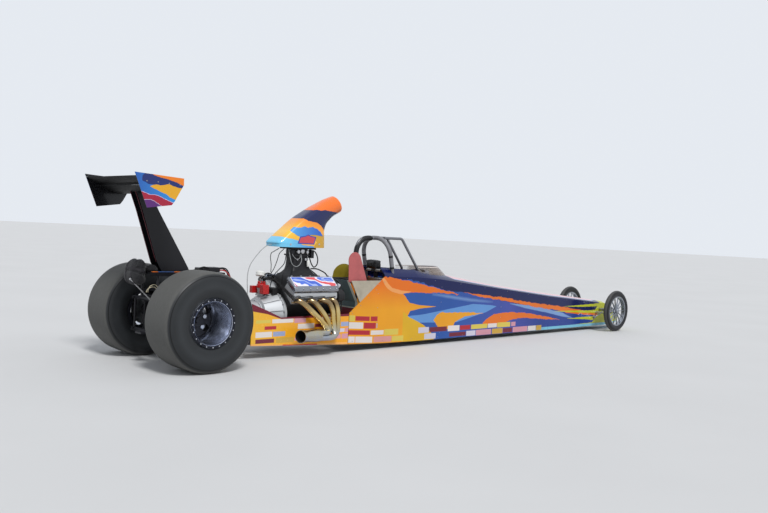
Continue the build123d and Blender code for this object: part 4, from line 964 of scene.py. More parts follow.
def two_sided_finish(name, right_tone, left_tone, rough=0.4):
    """One tone on the car's right and another on its left, both a little worn."""
    made = Finish(name, Roughness=rough)
    y = made.xyz()[1]
    cloud = made.noise(9.0, 4.0, rough=0.6)
    colour = made.mix(y.over(0.01), right_tone, left_tone)
    faded = made.mix(cloud, shade(176, 176, 176), shade(255, 255, 255))
    made.set("Base Color", made.mix(1.0, colour, faded, "MULTIPLY"))
    made.set("Roughness", (cloud - 0.5) * 0.25 + rough)
    made.bump(made.noise(140.0, 2.0), 0.05, 0.0006)
    return made.material


endplate_paint = endplate_finish()
# the left fin's olive is its yellow paint darkened: a painted shade
fin_paint_shaded_left = two_sided_finish("fin paint", shade(204, 104, 104), shade(160, 142, 34), 0.42)
shoulder_paint = two_sided_finish("shoulder panel sheet", shade(190, 180, 160), shade(34, 56, 88), 0.36)


def firewall_finish():
    """Teal sheet with a pale edge, maroon below the bend."""
    made = Finish("firewall paint", Roughness=0.34, Specular_Ior_Level=0.4)
    _, y, z = made.xyz()
    cloud = made.noise(8.0, 3.0)
    colour = made.mix(cloud, shade(70, 92, 98), shade(104, 128, 130))
    colour = made.mix((0.47 - z).over(0.004), colour, shade(118, 26, 44))
    rim = (y.math("ABSOLUTE") - 0.214).over(0.003) + (0.006 - (z - 0.478).math("ABSOLUTE")).over(0.003)
    made.set("Base Color", made.mix(rim.clamped(), colour, shade(206, 210, 196)))
    made.set("Roughness", cloud * 0.2 + 0.26)
    made.bump(made.noise(60.0, 2.0), 0.05)
    return made.material


firewall_paint = firewall_finish()
print("end plate, fin, shoulder and firewall finishes made")

# %% [markdown]
# The windscreen is clear at the back and tinted ahead, with a pale painted highlight along its top edge. Its
# transparency changes along the car, so it is worked out from x.

# %% Windscreen
def screen_finish():
    made = Finish("screen", Roughness=0.06, Coat_Weight=1.0, Coat_Roughness=0.03)
    x, _, z = made.xyz()
    haze = made.noise(5.0, 3.0)
    # a pale band along the top edge: a painted highlight
    rim = (z - 0.934).over(0.003)
    tinted = made.mix(haze, shade(112, 98, 84), shade(150, 128, 112))
    made.set("Base Color", made.mix(rim, tinted, shade(226, 214, 206)))
    made.set("Alpha", ((x - 3.4).over(0.05) * 0.36 + 0.12 + rim * 0.5).clamped())
    made.set("Roughness", haze * 0.08 + 0.03)
    return made.material


screen_clear = screen_finish()
print("screen finish made")

# %% [markdown]
# The solid pieces whose shape is already right keep it, and get their finish in their material slots. The pieces
# that follow replace or sit on the rest.

# %% Finishes of the solid pieces
paint_node(frame_paint, "frame_sides", "frame_crossmembers")
paint_node(cage_paint, "roll_hoop", "cage_braces")
paint_node(body_paint, "body_sides", "cowl", "nose_cone")
paint_node(bay_paint, "bay_panels")
paint_node(endplate_paint, "endplates")
paint_node(panel_black, "belly_pan", "rear_deck", "wing_pylon")
paint_node(wing_black, "wing")
paint_node(fin_paint_shaded_left, "fins")
paint_node(shoulder_paint, "shoulder_panels")
paint_node(firewall_paint, "firewall")
paint_node(screen_clear, "windscreen")
paint_node(casting_black, "axle_housing", "steering_wheel")
paint_node(cast_aluminium, "gearbox")
paint_node(aluminium, "rack_housing")
paint_node(steel, "axle_shaft", "front_axle", "steering_rack", "knuckle_right", "knuckle_left")
paint_node(spoke_alloy, "front_rim_right", "front_rim_left")
print("finishes set on the solid pieces")

# %% [markdown]
# A solid model's edges are knife sharp, and no casting is. This helper copies a solid piece, welds its loose
# triangles, joins flat ones into whole faces and rounds the edges, so that they catch the light.

# %% Rounded copies of solid pieces
def rounded(node, width, finish):
    """A bevelled copy that stands for a solid piece."""
    build = bmesh.new()
    build.from_mesh(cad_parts[node].data)
    bmesh.ops.remove_doubles(build, verts=build.verts, dist=2e-5)
    bmesh.ops.dissolve_limit(build, angle_limit=math.radians(0.6), verts=build.verts, edges=build.edges)
    mesh = bpy.data.meshes.new(node)
    build.to_mesh(mesh)
    build.free()
    made = softened(linked(f"{node}_rounded", mesh, finish, 30), width)
    frozen(made).set_sharp_from_angle(angle=math.radians(38))
    print(made.name, len(made.data.polygons), "faces")
    seated(made, "chassis", node)


rounded("engine_block", 0.006, casting_black)
rounded("cylinder_heads", 0.004, cast_aluminium)
rounded("valve_covers", 0.007, cover_alloy)
rounded("oil_pan", 0.008, cast_aluminium)
rounded("front_drive", 0.003, casting_black)
rounded("seat", 0.003, aluminium)

# %% [markdown]
# A slick's wheel is a deep barrel. From outside one sees the clamp ring that pinches the tyre's bead, with a bolt
# every few centimetres, then the polished barrel stepping down, and a dark centre far inside with its lug nuts.
# Bolts that stand in a circle are what the fastener tree is for.

# %% Rear wheels
def rim_finish():
    """Polished barrel and lips, darker centre and hub end."""
    made = Finish("rear rim", Metallic=1.0)
    x, y, z = made.xyz()
    up = z - REAR_AXLE_Z
    radius = (x * x + up * up).math("SQRT")
    # darker deep inside the barrel and over the hub end
    centre = ((0.518 - y.math("ABSOLUTE")).over(0.004) + (0.12 - radius).over(0.004)).clamped()
    brushed = made.noise(7.0, 2.0)
    colour = made.mix(brushed, shade(206, 211, 224), shade(222, 226, 236))
    made.set("Base Color", made.mix(centre, colour, shade(34, 35, 42)))
    made.set("Metallic", 1.0 - centre * 0.6)
    made.set("Roughness", brushed * 0.05 + 0.24 + centre * 0.14)
    made.bump(made.noise(90.0, 2.0), 0.008)
    return made.material


rear_rim = rim_finish()
paint_node(rear_rim, "rear_rims")
dark_ring = plain_finish("anodised dark ring", (40, 42, 50), 0.34, 0.8, 0.2, 120, 0.04)
# outlines of radius and place along the axis
BARREL = [(0.1917, 0.222), (0.1912, 0.205), (0.1885, 0.199), (0.1872, 0.16), (0.181, 0.146), (0.1795, 0.06),
    (0.172, 0.046), (0.17, -0.04), (0.1645, -0.052), (0.164, -0.0795), (0.1917, -0.0795)]
CLAMP_RING = [(0.2, 0.2235), (0.2215, 0.2235), (0.2225, 0.225), (0.2215, 0.2285), (0.212, 0.2295),
    (0.201, 0.2285), (0.199, 0.226)]
# place along the axis, radius of the circle, turn, count, head radius, height, washer
WHEEL_BOLTS = [(0.23, 0.2115, 0, 20, 0.0058, 0.006, 0), (-0.0835, 0.0975, 0.3, 6, 0.0135, 0.03, 0.018),
    (-0.0835, 0.172, 0, 16, 0.0065, 0.008, 0.009)]
hubs = [(at(0, side * REAR_WHEEL_Y, REAR_AXLE_Z), Vector((0, side, 0))) for side in RIGHT_LEFT]
piece("rim_barrels", rear_rim, [(turned, BARREL, *hub, 128) for hub in hubs], 40, body="rear_axle")
piece("clamp_rings", dark_ring, [(turned, CLAMP_RING, *hub, 128) for hub in hubs], 40, body="rear_axle")
bolts = fasteners("rear_wheel_bolts", [(circle_points(centre + out * place, out, radius, turn), True, count, out,
        head, height, washer, 6) for centre, out in hubs for place, radius, turn, count, head, height,
        washer in WHEEL_BOLTS], polished, "rear_axle")
print("rear wheel bolts:", len(bolts.data.polygons), "faces")

# %% [markdown]
# The front wheels are bicycle-thin, with flat spokes. Each spoke gets a raised rib, the rim a ring of small holes
# made as black discs whose dark is painted shade, and the hub a cap with its bolts.

# %% Front wheels
def front_wheel(side_name, side):
    centre = at(FRONT_AXLE[0], side * FRONT_WHEEL_Y, FRONT_AXLE[1])
    outward = Vector((0, side, 0))
    body = f"front_wheel_{side_name}"
    shapes = []
    for n in range(14):
        turn = 2 * math.pi * n / 14
        out = Vector((math.cos(turn), 0, -math.sin(turn)))
        for lift in (outward, -outward):
            rib = [centre + out * r + lift * off for r, off in ((0.03, 0.013), (0.075, 0.0085), (0.15, 0.0062),
                    (0.2065, 0.005))]
            shapes.append((tube, rib, [0.0062, 0.0052, 0.0042, 0.0036], 8))
    shapes.append((turned, [(0, 0.0445), (0.02, 0.044), (0.0285, 0.0415), (0.0325, 0.0365), (0.0325, 0.03),
            (0, 0.03)], centre, outward, 48))
    piece(f"spoke_ribs_{side_name}", spoke_alloy, shapes, 40, body=body)
    # black discs on both faces of the rim stand for its holes: painted shade
    fasteners(f"rim_hole_shade_discs_{side_name}", [(circle_points(centre + face * 0.0302, outward, 0.2155), True, 28, face,
            0.0038, 0.0012, 0, 10) for face in (outward, -outward)], panel_black, body=body)
    fasteners(f"hub_bolts_{side_name}", [(circle_points(centre + outward * 0.044, outward, 0.015), True, 5,
            outward, 0.0028, 0.004, 0, 6)], steel, body)


for side_name, side in SIDES:
    front_wheel(side_name, side)
print("front wheels: 28 ribs, 56 holes each")

# %% [markdown]
# The valve covers are the brightest thing on the engine: polished boxes with rounded edges, a bolted lip along the
# bottom, and a flat top painted in red, white and blue swirls. The top is a thin plate of its own, so that its
# pattern stops at a crisp white edge.

# %% Valve cover tops and their bolts
COVER_REAR, COVER_FRONT = 1.245, 1.834


def swirl_finish():
    """Red, white and blue bands that wave along the top, inside a white edge."""
    made = Finish("painted valve cover top", Roughness=0.22, Coat_Weight=0.4, Coat_Roughness=0.05)
    x, _, z = made.xyz()
    wave = made.noise(4.0, 1.5, (1.0, 1.6, 1.6))
    band = (x * 1.5 + z * 5.0 + wave * 2.2).math("FRACT")
    colour = made.ramp(band, [(0, 50, 90, 196), (0.24, 222, 222, 238), (0.36, 214, 72, 78), (0.6, 228, 226, 240),
            (0.74, 64, 104, 206), (0.9, 150, 170, 224)], "CONSTANT")
    edge = ((z - 0.738).over(0.002) * (0.823 - z).over(0.002) * (x - COVER_REAR - 0.022).over(0.002)
        * (COVER_FRONT - 0.022 - x).over(0.002))
    made.set("Base Color", made.mix(edge, shade(214, 214, 228), colour))
    made.set("Roughness", wave * 0.1 + 0.16)
    made.bump(wave, 0.05)
    return made.material


tops, bolt_rows = [], []
for side in RIGHT_LEFT:
    corners = [at(x, side * y, z) for x, y, z in ((COVER_REAR + 0.012, 0.225, 0.8236),
            (COVER_FRONT - 0.012, 0.225, 0.8236), (COVER_FRONT - 0.012, 0.326, 0.7364),
            (COVER_REAR + 0.012, 0.326, 0.7364))]
    lift = Vector((0, side * 0.646, 0.764))
    tops.append((plate, [c + lift * 0.0004 for c in corners], lift * 0.0022))
    for inset, y, z, count, facing, head, height, washer in ((0.03, 0.3425, 0.707, 7, (0, side, 0.25), 0.0075,
                0.012, 0.011), (0.05, 0.205, 0.832, 5, (0, 0, 1), 0.009, 0.02, 0.013)):
        path = [at(COVER_REAR + inset, side * y, z), at(COVER_FRONT - inset, side * y, z)]
        bolt_rows.append((path, False, count, facing, head, height, washer, 6))
piece("cover_tops", swirl_finish(), tops, 30)
fasteners("cover_bolts", bolt_rows, steel)
print("valve cover tops with", sum(row[2] for row in bolt_rows), "bolts")

# %% [markdown]
# Under the scoop stands a tall narrow manifold. Fuel is sprayed in at the throttle body on its top, so small lines
# and fittings crowd there. The manifold is one skin stretched over rounded rectangles that widen at the bottom.

# %% Manifold and throttle body
def rounded_rectangle(x0, x1, half, z, corner, steps=6):
    """Points of a level rectangle with round corners."""
    points = []
    for cx, cy, turn in ((x1 - corner, half - corner, 0), (x0 + corner, half - corner, 1),
            (x0 + corner, corner - half, 2), (x1 - corner, corner - half, 3)):
        for k in range(steps + 1):
            angle = math.pi / 2 * (turn + k / steps)
            points.append(at(cx + corner * math.cos(angle), cy + corner * math.sin(angle), z))
    return points


# x of the rear and front, half width, height, corner
MANIFOLD = [(1.33, 1.712, 0.098, 0.69, 0.02), (1.33, 1.712, 0.15, 0.77, 0.02), (1.33, 1.712, 0.15, 0.812, 0.02),
    (1.345, 1.7, 0.132, 0.838, 0.03), (1.372, 1.675, 0.104, 0.862, 0.03), (1.395, 1.652, 0.088, 0.89, 0.03),
    (1.405, 1.63, 0.08, 0.93, 0.03), (1.41, 1.615, 0.077, 0.99, 0.03), (1.41, 1.61, 0.077, 1.04, 0.03),
    (1.392, 1.628, 0.096, 1.041, 0.03), (1.392, 1.628, 0.096, 1.056, 0.03), (1.418, 1.602, 0.08, 1.057, 0.02),
    (1.418, 1.602, 0.08, 1.112, 0.02), (1.345, 1.69, 0.116, 1.113, 0.03), (1.345, 1.69, 0.116, 1.1335, 0.03)]
manifold = piece("tall_manifold", casting_black, [(stretched, [rounded_rectangle(*row) for row in MANIFOLD])], 30,
    "intake")
piece("throttle_fittings", aluminium, [(turned, [(0, 0), (radius * 0.72, 0), (radius * 0.72, reach * 0.55),
        (radius, reach * 0.6), (radius, reach), (radius * 0.55, reach + 0.003), (0, reach + 0.001)],
        at(x, side * 0.076, z), (0, side, 0), 24) for x, z, radius, reach in ((1.452, 1.086, 0.019, 0.03),
        (1.512, 1.092, 0.025, 0.022), (1.568, 1.084, 0.016, 0.034), (1.452, 1.0, 0.01, 0.016),
        (1.56, 1.005, 0.013, 0.02)) for side in RIGHT_LEFT], 40)
piece("throttle_boxes", panel_black, [(brick, (1.62, -0.105, 1.02), (1.66, -0.045, 1.105)),
        (brick, (1.35, -0.112, 1.06), (1.395, -0.06, 1.105))], 30, edge=0.004)
UP = (0, 0, 1)
piece("small_canister", white_mould, [(turned, [(0, 0), (0.014, 0), (0.016, 0.004), (0.016, 0.058),
        (0.012, 0.064), (0.006, 0.066), (0, 0.066)], at(1.588, -0.1, 0.928), UP, 24)], 40)
print("manifold of", len(manifold.data.polygons), "faces with its throttle body")

# %% [markdown]
# The lines of a race engine are held at both ends and by clips between, so they are built as fixed pipes and not as
# free hoses. One list gives each line's points and radius. A smooth curve through the points makes the path.

# %% Fuel, water and spark lines
def lines(name, rows, material, steps=7, sides=10):
    piece(name, material, [(tube, smooth_path([at(*p) for p in points], steps), radius, sides) for radius,
            *points in rows], 50)


lines("spray_line", [(0.0035, (1.33, -0.09, 1.112), (1.328, -0.128, 1.01), (1.352, -0.136, 0.952),
        (1.4, -0.138, 0.93), (1.448, -0.134, 0.95), (1.478, -0.126, 1.0), (1.49, -0.092, 1.06)),
        (0.003, (1.36, -0.08, 1.112), (1.372, -0.118, 1.04), (1.42, -0.124, 1.006), (1.47, -0.11, 1.03),
        (1.48, -0.078, 1.06))], cable_grey)
lines("black_lines", [(0.0065, (1.618, -0.07, 1.108), (1.66, -0.118, 1.09), (1.69, -0.132, 1.02),
        (1.686, -0.13, 0.955), (1.655, -0.118, 0.925), (1.632, -0.1, 0.96), (1.622, -0.078, 1.02)),
        (0.007, (1.64, -0.08, 0.905), (1.7, -0.11, 0.905), (1.76, -0.13, 0.882), (1.825, -0.12, 0.85),
        (1.872, -0.11, 0.79), (1.874, -0.12, 0.7)), (0.006, (1.64, 0.08, 0.915), (1.71, 0.09, 0.9),
        (1.79, 0.08, 0.868), (1.862, 0.05, 0.8), (1.866, 0.02, 0.71)),
        (0.0045, (1.31, -0.08, 1.112), (1.285, -0.105, 1.04), (1.262, -0.11, 0.96), (1.215, -0.095, 0.9),
        (1.18, -0.07, 0.85), (1.165, -0.04, 0.79)), (0.004, (1.335, 0.0, 1.112), (1.262, -0.02, 1.06),
        (1.228, -0.03, 0.985), (1.19, -0.035, 0.905), (1.15, -0.03, 0.84), (1.12, -0.02, 0.78)),
        (0.004, (1.32, 0.07, 1.112), (1.25, 0.06, 1.08), (1.2, 0.04, 1.06), (1.178, 0.02, 1.01),
        (1.176, 0.0, 0.94), (1.16, -0.02, 0.86)), (0.006, (1.395, -0.06, 0.96), (1.33, -0.09, 0.945),
        (1.27, -0.11, 0.89), (1.24, -0.12, 0.83), (1.236, -0.118, 0.74), (1.236, -0.1, 0.66)),
        (0.0055, (1.205, 0.06, 0.64), (1.16, 0.08, 0.72), (1.12, 0.06, 0.8), (1.14, 0.01, 0.85),
        (1.18, -0.05, 0.82), (1.205, -0.09, 0.73), (1.212, -0.09, 0.62)),
        (0.005, (1.18, -0.01, 0.6), (1.13, -0.06, 0.68), (1.125, -0.085, 0.76), (1.16, -0.1, 0.8),
        (1.195, -0.11, 0.77), (1.215, -0.14, 0.69), (1.222, -0.15, 0.6))], hose_black)
# spark leads: from the distributor's towers, under the covers, down to the plugs between the exhaust tubes
DISTRIBUTOR = (1.065, 0.0)
PORTS = (1.283, 1.44, 1.597, 1.731)
lead_rows = []
for side in RIGHT_LEFT:
    for n, port in enumerate(PORTS):
        turn = side * (0.5 + n * 0.62)
        start = (DISTRIBUTOR[0] + 0.034 * math.cos(turn), 0.034 * math.sin(turn), 0.768)
        lead_rows.append((0.0042, start, (start[0] + 0.01, start[1] * 1.3, 0.8),
                (1.13 + 0.012 * n, side * (0.06 + 0.012 * n), 0.812 - 0.016 * n),
                (1.2, side * (0.18 + 0.008 * n), 0.73 - 0.014 * n), (1.232, side * 0.318, 0.64 - 0.012 * n),
                (1.262 + 0.006 * n, side * 0.346, 0.63 - 0.012 * n),
                (port + 0.02, side * 0.338, 0.636 - 0.006 * n), (port + 0.055, side * 0.322, 0.622)))
lines("spark_leads", lead_rows, hose_black, 5, 8)
print("engine lines and", len(lead_rows), "spark leads")

# %% [markdown]
# The distributor hands the spark round: a shaft in a housing, a red cap with a ring of towers, and a coil beside it.
# A white breather stands behind. All of them are turned shapes.

# %% Distributor, coil and breather
centre = at(DISTRIBUTOR[0], 0, 0)
piece("distributor_housing", cast_aluminium, [(turned, [(0, 0.592), (0.029, 0.592), (0.029, 0.65), (0.04, 0.664),
        (0.04, 0.698), (0, 0.698)], centre, UP, 40)], 35, node="distributor")
towers = [centre + Vector((math.cos(t), math.sin(t), 0)) * 0.034 for t in (0.2 + math.pi * n / 4 for n in range(8))]
piece("red_cap_and_coil", red_mould, [(turned, [(0, 0.6985), (0.0505, 0.6985), (0.052, 0.702), (0.052, 0.724),
        (0.047, 0.738), (0.03, 0.744), (0.015, 0.746), (0, 0.746)], centre, UP, 40), *((turned,
        [(0, 0.738), (0.0085, 0.738), (0.0078, 0.766), (0, 0.766)], place, UP, 12) for place in towers),
        (brick, (1.0, -0.125, 0.64), (1.075, -0.06, 0.735)), (brick, (0.985, 0.05, 0.64), (1.05, 0.1, 0.715))],
    35, edge=0.004)
piece("white_breather", white_mould, [(turned, outline, at(1.105, 0.085, 0.812), (0.2, 0.1, 1), sides)
        for outline, sides in (([(0, 0), (0.046, 0), (0.052, 0.006), (0.052, 0.04), (0.04, 0.052), (0.014, 0.058),
        (0, 0.058)], 32), ([(0, -0.2), (0.012, -0.2), (0.012, 0.01), (0, 0.01)], 16))], 40)
piece("rear_engine_boxes", casting_black, [(brick, (1.14, -0.1, 0.632), (1.232, 0.08, 0.7)),
        (brick, (1.09, -0.06, 0.585), (1.14, 0.06, 0.655))], 30, edge=0.006)
print("distributor, coil and breather made")

# %% [markdown]
# The bell housing is a cast cone with ribs that run from the gearbox out to a bolted flange. Ribs are thin blades
# set round the cone at equal angles.

# %% Bell housing ribs and flange bolts
CRANK_Z = 0.42
AHEAD, BACK = (1, 0, 0), Vector((-1, 0, 0))
shapes = []
for n in range(12):
    turn = 2 * math.pi * n / 12 + 0.26
    out = Vector((0, math.cos(turn), math.sin(turn)))
    across = Vector((0, -math.sin(turn), math.cos(turn))) * 0.005
    blade = [at(x, 0, CRANK_Z) + out * r - across for x, r in ((1.012, 0.174), (1.2, 0.2305), (1.2, 0.243),
            (1.12, 0.222), (1.012, 0.186))]
    shapes.append((plate, blade, across * 2))
shapes += [(turned, [(0.2325, 0), (0.246, 0), (0.246, 0.012), (0.2325, 0.012)], at(1.2, 0, CRANK_Z), AHEAD, 96),
    (turned, [(0.14, 0), (0.15, 0.002), (0.15, 0.016), (0.14, 0.018)], at(0.985, 0, CRANK_Z), AHEAD, 64)]
piece("housing_ribs", cast_aluminium, shapes, 30, edge=0.0015)
fasteners("housing_bolts", [(circle_points(at(1.199, 0, CRANK_Z), BACK, 0.2385), True, 18, BACK, 0.007, 0.01,
        0.01, 6), (circle_points(at(0.985, 0, CRANK_Z), BACK, 0.145), True, 10, BACK, 0.0045, 0.008, 0, 6)],
    steel)
print("bell housing ribs and 28 bolts")

# %% [markdown]
# Four exhaust tubes a side sweep forward and down from the heads, turn back and meet in one collector, so that the
# pulses of gas pull each other along. The collector turns out a little at its end, away from the body. Each tube is
# a smooth curve through a few points.

# %% Exhaust headers
HEADER_ROUTES = [[(1.283, 0.299, 0.583), (1.312, 0.336, 0.584), (1.362, 0.368, 0.548), (1.47, 0.398, 0.452),
        (1.572, 0.41, 0.362), (1.628, 0.418, 0.3), (1.64, 0.43, 0.262), (1.612, 0.446, 0.256),
        (1.56, 0.447, 0.256), (1.5, 0.445, 0.254)], [(1.44, 0.299, 0.583), (1.468, 0.336, 0.584),
        (1.51, 0.366, 0.552), (1.59, 0.392, 0.458), (1.652, 0.398, 0.37), (1.682, 0.396, 0.3),
        (1.68, 0.394, 0.264), (1.64, 0.393, 0.256), (1.57, 0.393, 0.256), (1.5, 0.395, 0.254)],
    [(1.597, 0.299, 0.583), (1.626, 0.336, 0.586), (1.682, 0.366, 0.562), (1.722, 0.384, 0.48),
        (1.73, 0.392, 0.38), (1.73, 0.42, 0.27), (1.716, 0.444, 0.216), (1.66, 0.447, 0.202),
        (1.58, 0.447, 0.202), (1.5, 0.445, 0.204)], [(1.731, 0.299, 0.583), (1.756, 0.334, 0.586),
        (1.786, 0.362, 0.546), (1.798, 0.384, 0.44), (1.796, 0.394, 0.33), (1.788, 0.396, 0.246),
        (1.752, 0.394, 0.206), (1.68, 0.393, 0.202), (1.59, 0.393, 0.202), (1.5, 0.395, 0.204)]]
COLLECTOR = [(1.53, 0.42, 0.229), (1.47, 0.42, 0.229), (1.42, 0.42, 0.229), (1.37, 0.423, 0.229),
    (1.32, 0.432, 0.23), (1.264, 0.45, 0.231)]
COLLECTOR_WIDTH = (0.064, 0.066, 0.062, 0.06, 0.062, 0.066)


pipes, soot, flanges, bolt_rows = [], [], [], []
for side in RIGHT_LEFT:
    for route in HEADER_ROUTES:
        pipes.append((tube, smooth_path([at(x, side * y, z) for x, y, z in route], 5), 0.0295, 20))
    axis = [at(x, side * y, z) for x, y, z in COLLECTOR]
    for shapes, start, wall in ((pipes, 0, 0), (soot, 3, 0.004)):
        radii = [v.x - wall for v in smooth_path([(w, 0, 0) for w in COLLECTOR_WIDTH[start:]], 4)]
        shapes.append((tube, smooth_path(axis[start:], 4), radii, 40, False))
    along = (axis[-1] - axis[-2]).normalized()
    pipes.append((turned, [(0.0617, -0.004), (0.0665, -0.004), (0.068, 0.0005), (0.0665, 0.004), (0.0617, 0.003)],
            axis[-1], along, 48))
    soot.append((turned, [(0, 0), (0.056, 0), (0.056, 0.002), (0, 0.002)], axis[3], along, 40))
    for port in PORTS:
        low, high = sorted((side * 0.3, side * 0.308))
        flanges.append((brick, (port - 0.048, low, 0.557), (port + 0.048, high, 0.609)))
        ends = [at(port + reach, side * 0.309, 0.583) for reach in (-0.038, 0.038)]
        bolt_rows.append((ends, False, 2, (0, side, 0), 0.0062, 0.012, 0.01, 6))
exhaust = piece("exhaust_headers", header_steel, pipes, 50, "headers")
soot_black = plain_finish("soot", (14, 13, 13), 0.9, 0, 0.4, 200, 0.1, **DULL)
piece("collector_insides", soot_black, soot, 50)
piece("header_flanges", header_steel, flanges, 30, edge=0.003)
fasteners("header_bolts", bolt_rows, steel)
print("headers of", len(exhaust.data.polygons), "faces")

# %% [markdown]
# At the front of the engine a belt drives the pumps. A pump and a filter stand out on the right, which is what
# shows behind the headers.

# %% Front accessories
pumps = [(turned, [(0, 0), (radius * 0.8, 0), (radius, 0.008), (radius, reach - 0.01), (radius * 0.85, reach),
        (radius * 0.3, reach + 0.004), (0, reach + 0.004)], at(1.85, y, z), AHEAD, 40) for y, z, radius,
    reach in ((-0.262, 0.625, 0.07, 0.092), (-0.232, 0.52, 0.042, 0.07), (0.25, 0.6, 0.048, 0.08))]
piece("front_pumps", casting_black, [*pumps, (brick, (1.84, -0.3, 0.59), (1.86, -0.15, 0.69)),
        (brick, (1.84, 0.15, 0.56), (1.86, 0.29, 0.64))], 35, edge=0.003)
piece("bright_filler", polished, [(turned, [(0, 0), (0.019, 0), (0.022, 0.004), (0.022, 0.03), (0.016, 0.036),
        (0, 0.037)], at(1.852, -0.3, 0.722), (0.3, -0.4, 1), 28),
        (turned, [(0, 0), (0.012, 0), (0.012, 0.04), (0, 0.04)], at(1.846, -0.29, 0.69), (0.1, -0.2, 1), 20)], 40)
lines("pump_lines", [(0.0085, (1.9, -0.262, 0.69), (1.915, -0.25, 0.76), (1.88, -0.2, 0.8), (1.85, -0.15, 0.77),
        (1.848, -0.11, 0.69)), (0.009, (1.905, -0.24, 0.48), (1.915, -0.25, 0.42), (1.89, -0.23, 0.35),
        (1.85, -0.19, 0.31), (1.82, -0.14, 0.3)), (0.0075, (1.925, -0.262, 0.6), (1.94, -0.27, 0.52),
        (1.925, -0.265, 0.43), (1.89, -0.25, 0.39))], hose_black)


ring = []
for n in range(48):
    turn = math.pi * n / 24
    z, radius = (0.61, 0.096) if math.sin(turn) > 0 else (CRANK_Z, 0.079)
    ring.append((radius * math.cos(turn), z + radius * math.sin(turn)))
rows = [[at(x, y * (1 + grow / 0.09), z) for y, z in ring] for x, grow in ((1.856, 0), (1.856, 0.004),
        (1.888, 0.004), (1.888, 0))]
piece("drive_belt", hose_black, [(stretched, [*rows, rows[0]], False)], 40)
print("front accessories and belt made")

# %% [markdown]
# Padding is cloth over foam, and it swells where nothing holds it. Each pad starts as a plain form a little smaller
# than the real one. A voxel remesh gives it an even skin, a short cloth simulation with air pressure inside puffs
# it up, and the movement is capped so that it keeps its place. Sewn channels are pressed in afterwards.

# %% A helper that puffs a pad
def puffed(name, sections, finish, node=None, cap=0.01, voxel=0.006, channels=()):
    """A padded piece: remeshed, puffed with air, capped, sewn and smoothed. A channel is a point, a normal, a depth
    and a width."""
    build = bmesh.new()
    made = linked(name, mesh_of(stretched(build, sections)), finish, 180)
    remesh = made.modifiers.new("even skin", "REMESH")
    remesh.mode = "VOXEL"
    remesh.voxel_size = voxel
    mesh = frozen(made)
    rest = [v.co.copy() for v in mesh.vertices]
    cloth = made.modifiers.new("puff", "CLOTH")
    cloth.settings.use_pressure = True
    cloth.settings.uniform_pressure_force = 4.0
    cloth.settings.effector_weights.gravity = 0.0
    cloth.settings.quality = 4
    cloth.point_cache.frame_start = 1
    cloth.point_cache.frame_end = 20
    for n in range(1, 21):
        scene.frame_set(n)
    mesh = frozen(made)
    scene.frame_set(1)
    for v, start in zip(mesh.vertices, rest):
        move = v.co - start
        if move.length > cap:
            v.co = start + move.normalized() * cap
    normals = [v.normal.copy() for v in mesh.vertices]
    for v, normal in zip(mesh.vertices, normals):
        for point, facing, depth, width in channels:
            off = (v.co - point).dot(facing)
            v.co -= normal * depth * math.exp(-(off / width) ** 2)
    smooth = made.modifiers.new("smooth", "SUBSURF")
    smooth.levels = 1
    mesh = frozen(made)
    mesh.materials.clear()
    mesh.materials.append(finish)
    for polygon in mesh.polygons:
        polygon.use_smooth = True
    seated(made, "chassis", node)
    print(name, len(mesh.polygons), "faces")
    return made


def fabric(name, tone, rough, weave=900.0, vary=0.25, dent=0.25, **constants):
    """Woven cloth: crossed threads as bump, with soft folds whose tone follows their relief, a painted shade."""
    made = Finish(name, **constants)
    x, y, z = made.xyz()
    threads = ((x + z) * weave).math("SINE") * ((y + z * 0.5) * weave).math("SINE")
    folds_and_shade = made.noise(14.0, 3.0, rough=0.55)
    # the fold noise also sets the tone: darker in the fold hollows and lighter on the crests, painted shade
    made.set("Base Color", made.mix(folds_and_shade, times(shade(*tone), 1 - vary), times(shade(*tone), 1 + vary)))
    made.set("Roughness", (folds_and_shade - 0.5) * 0.3 + rough)
    made.bump(threads * 0.25 + folds_and_shade * 3.0, dent, 0.003)
    return made.material


vinyl = fabric("black vinyl", (26, 26, 28), 0.42, 2400.0, 0.3, 0.12, Specular_Ior_Level=0.35)
pad_grey = fabric("grey foam cover", (122, 122, 126), 0.5, 2400.0, 0.12, 0.1, Specular_Ior_Level=0.4)
pack_cloth = fabric("black pack cloth", (25, 25, 28), 0.7, 1100.0, 0.35, 0.5, Sheen_Weight=0.15,
    Specular_Ior_Level=0.3)
webbing = fabric("dark webbing", (40, 38, 42), 0.62, 1500.0, 0.2, 0.3, Specular_Ior_Level=0.3)
cream_webbing = fabric("cream webbing", (206, 196, 168), 0.65, 1500.0, 0.12, 0.3)
print("cloth and vinyl finishes made")

# %% [markdown]
# A small black head pad stands on the shoulder bar. The hoop and the stay behind it wear foam
# sleeves, held on by tape: tubes a little thicker than the steel inside, split where another tube joins.

# %% Head rest and cage padding
Y_AXIS = Vector((0, 1, 0))
head_form = [[at(x + lean, y, z) for x, y in ((2.6, -0.082), (2.69, -0.082), (2.69, 0.082), (2.6, 0.082))] for z,
    lean in ((0.912, 0), (0.958, -0.006), (1.004, -0.012))]
puffed("head_pad", head_form, vinyl, "headrest", cap=0.008, voxel=0.005, channels=[(at(0, y, 0),
        Y_AXIS, 0.004, 0.005) for y in (-0.03, 0.03)])


def hoop_at(z, y):
    return at(2.7497 - 0.2183 * (z - 0.7905), y, z)


def sleeve(name, points, radius, finish):
    """A foam tube with rounded ends."""
    run = smooth_path(points, 6)
    last = len(run) - 1
    radii = [radius * min(1.0, 0.86 + 0.14 * min(k, last - k) / 2) for k in range(last + 1)]
    piece(name, finish, [(tube, run, radii, 24)], 60)


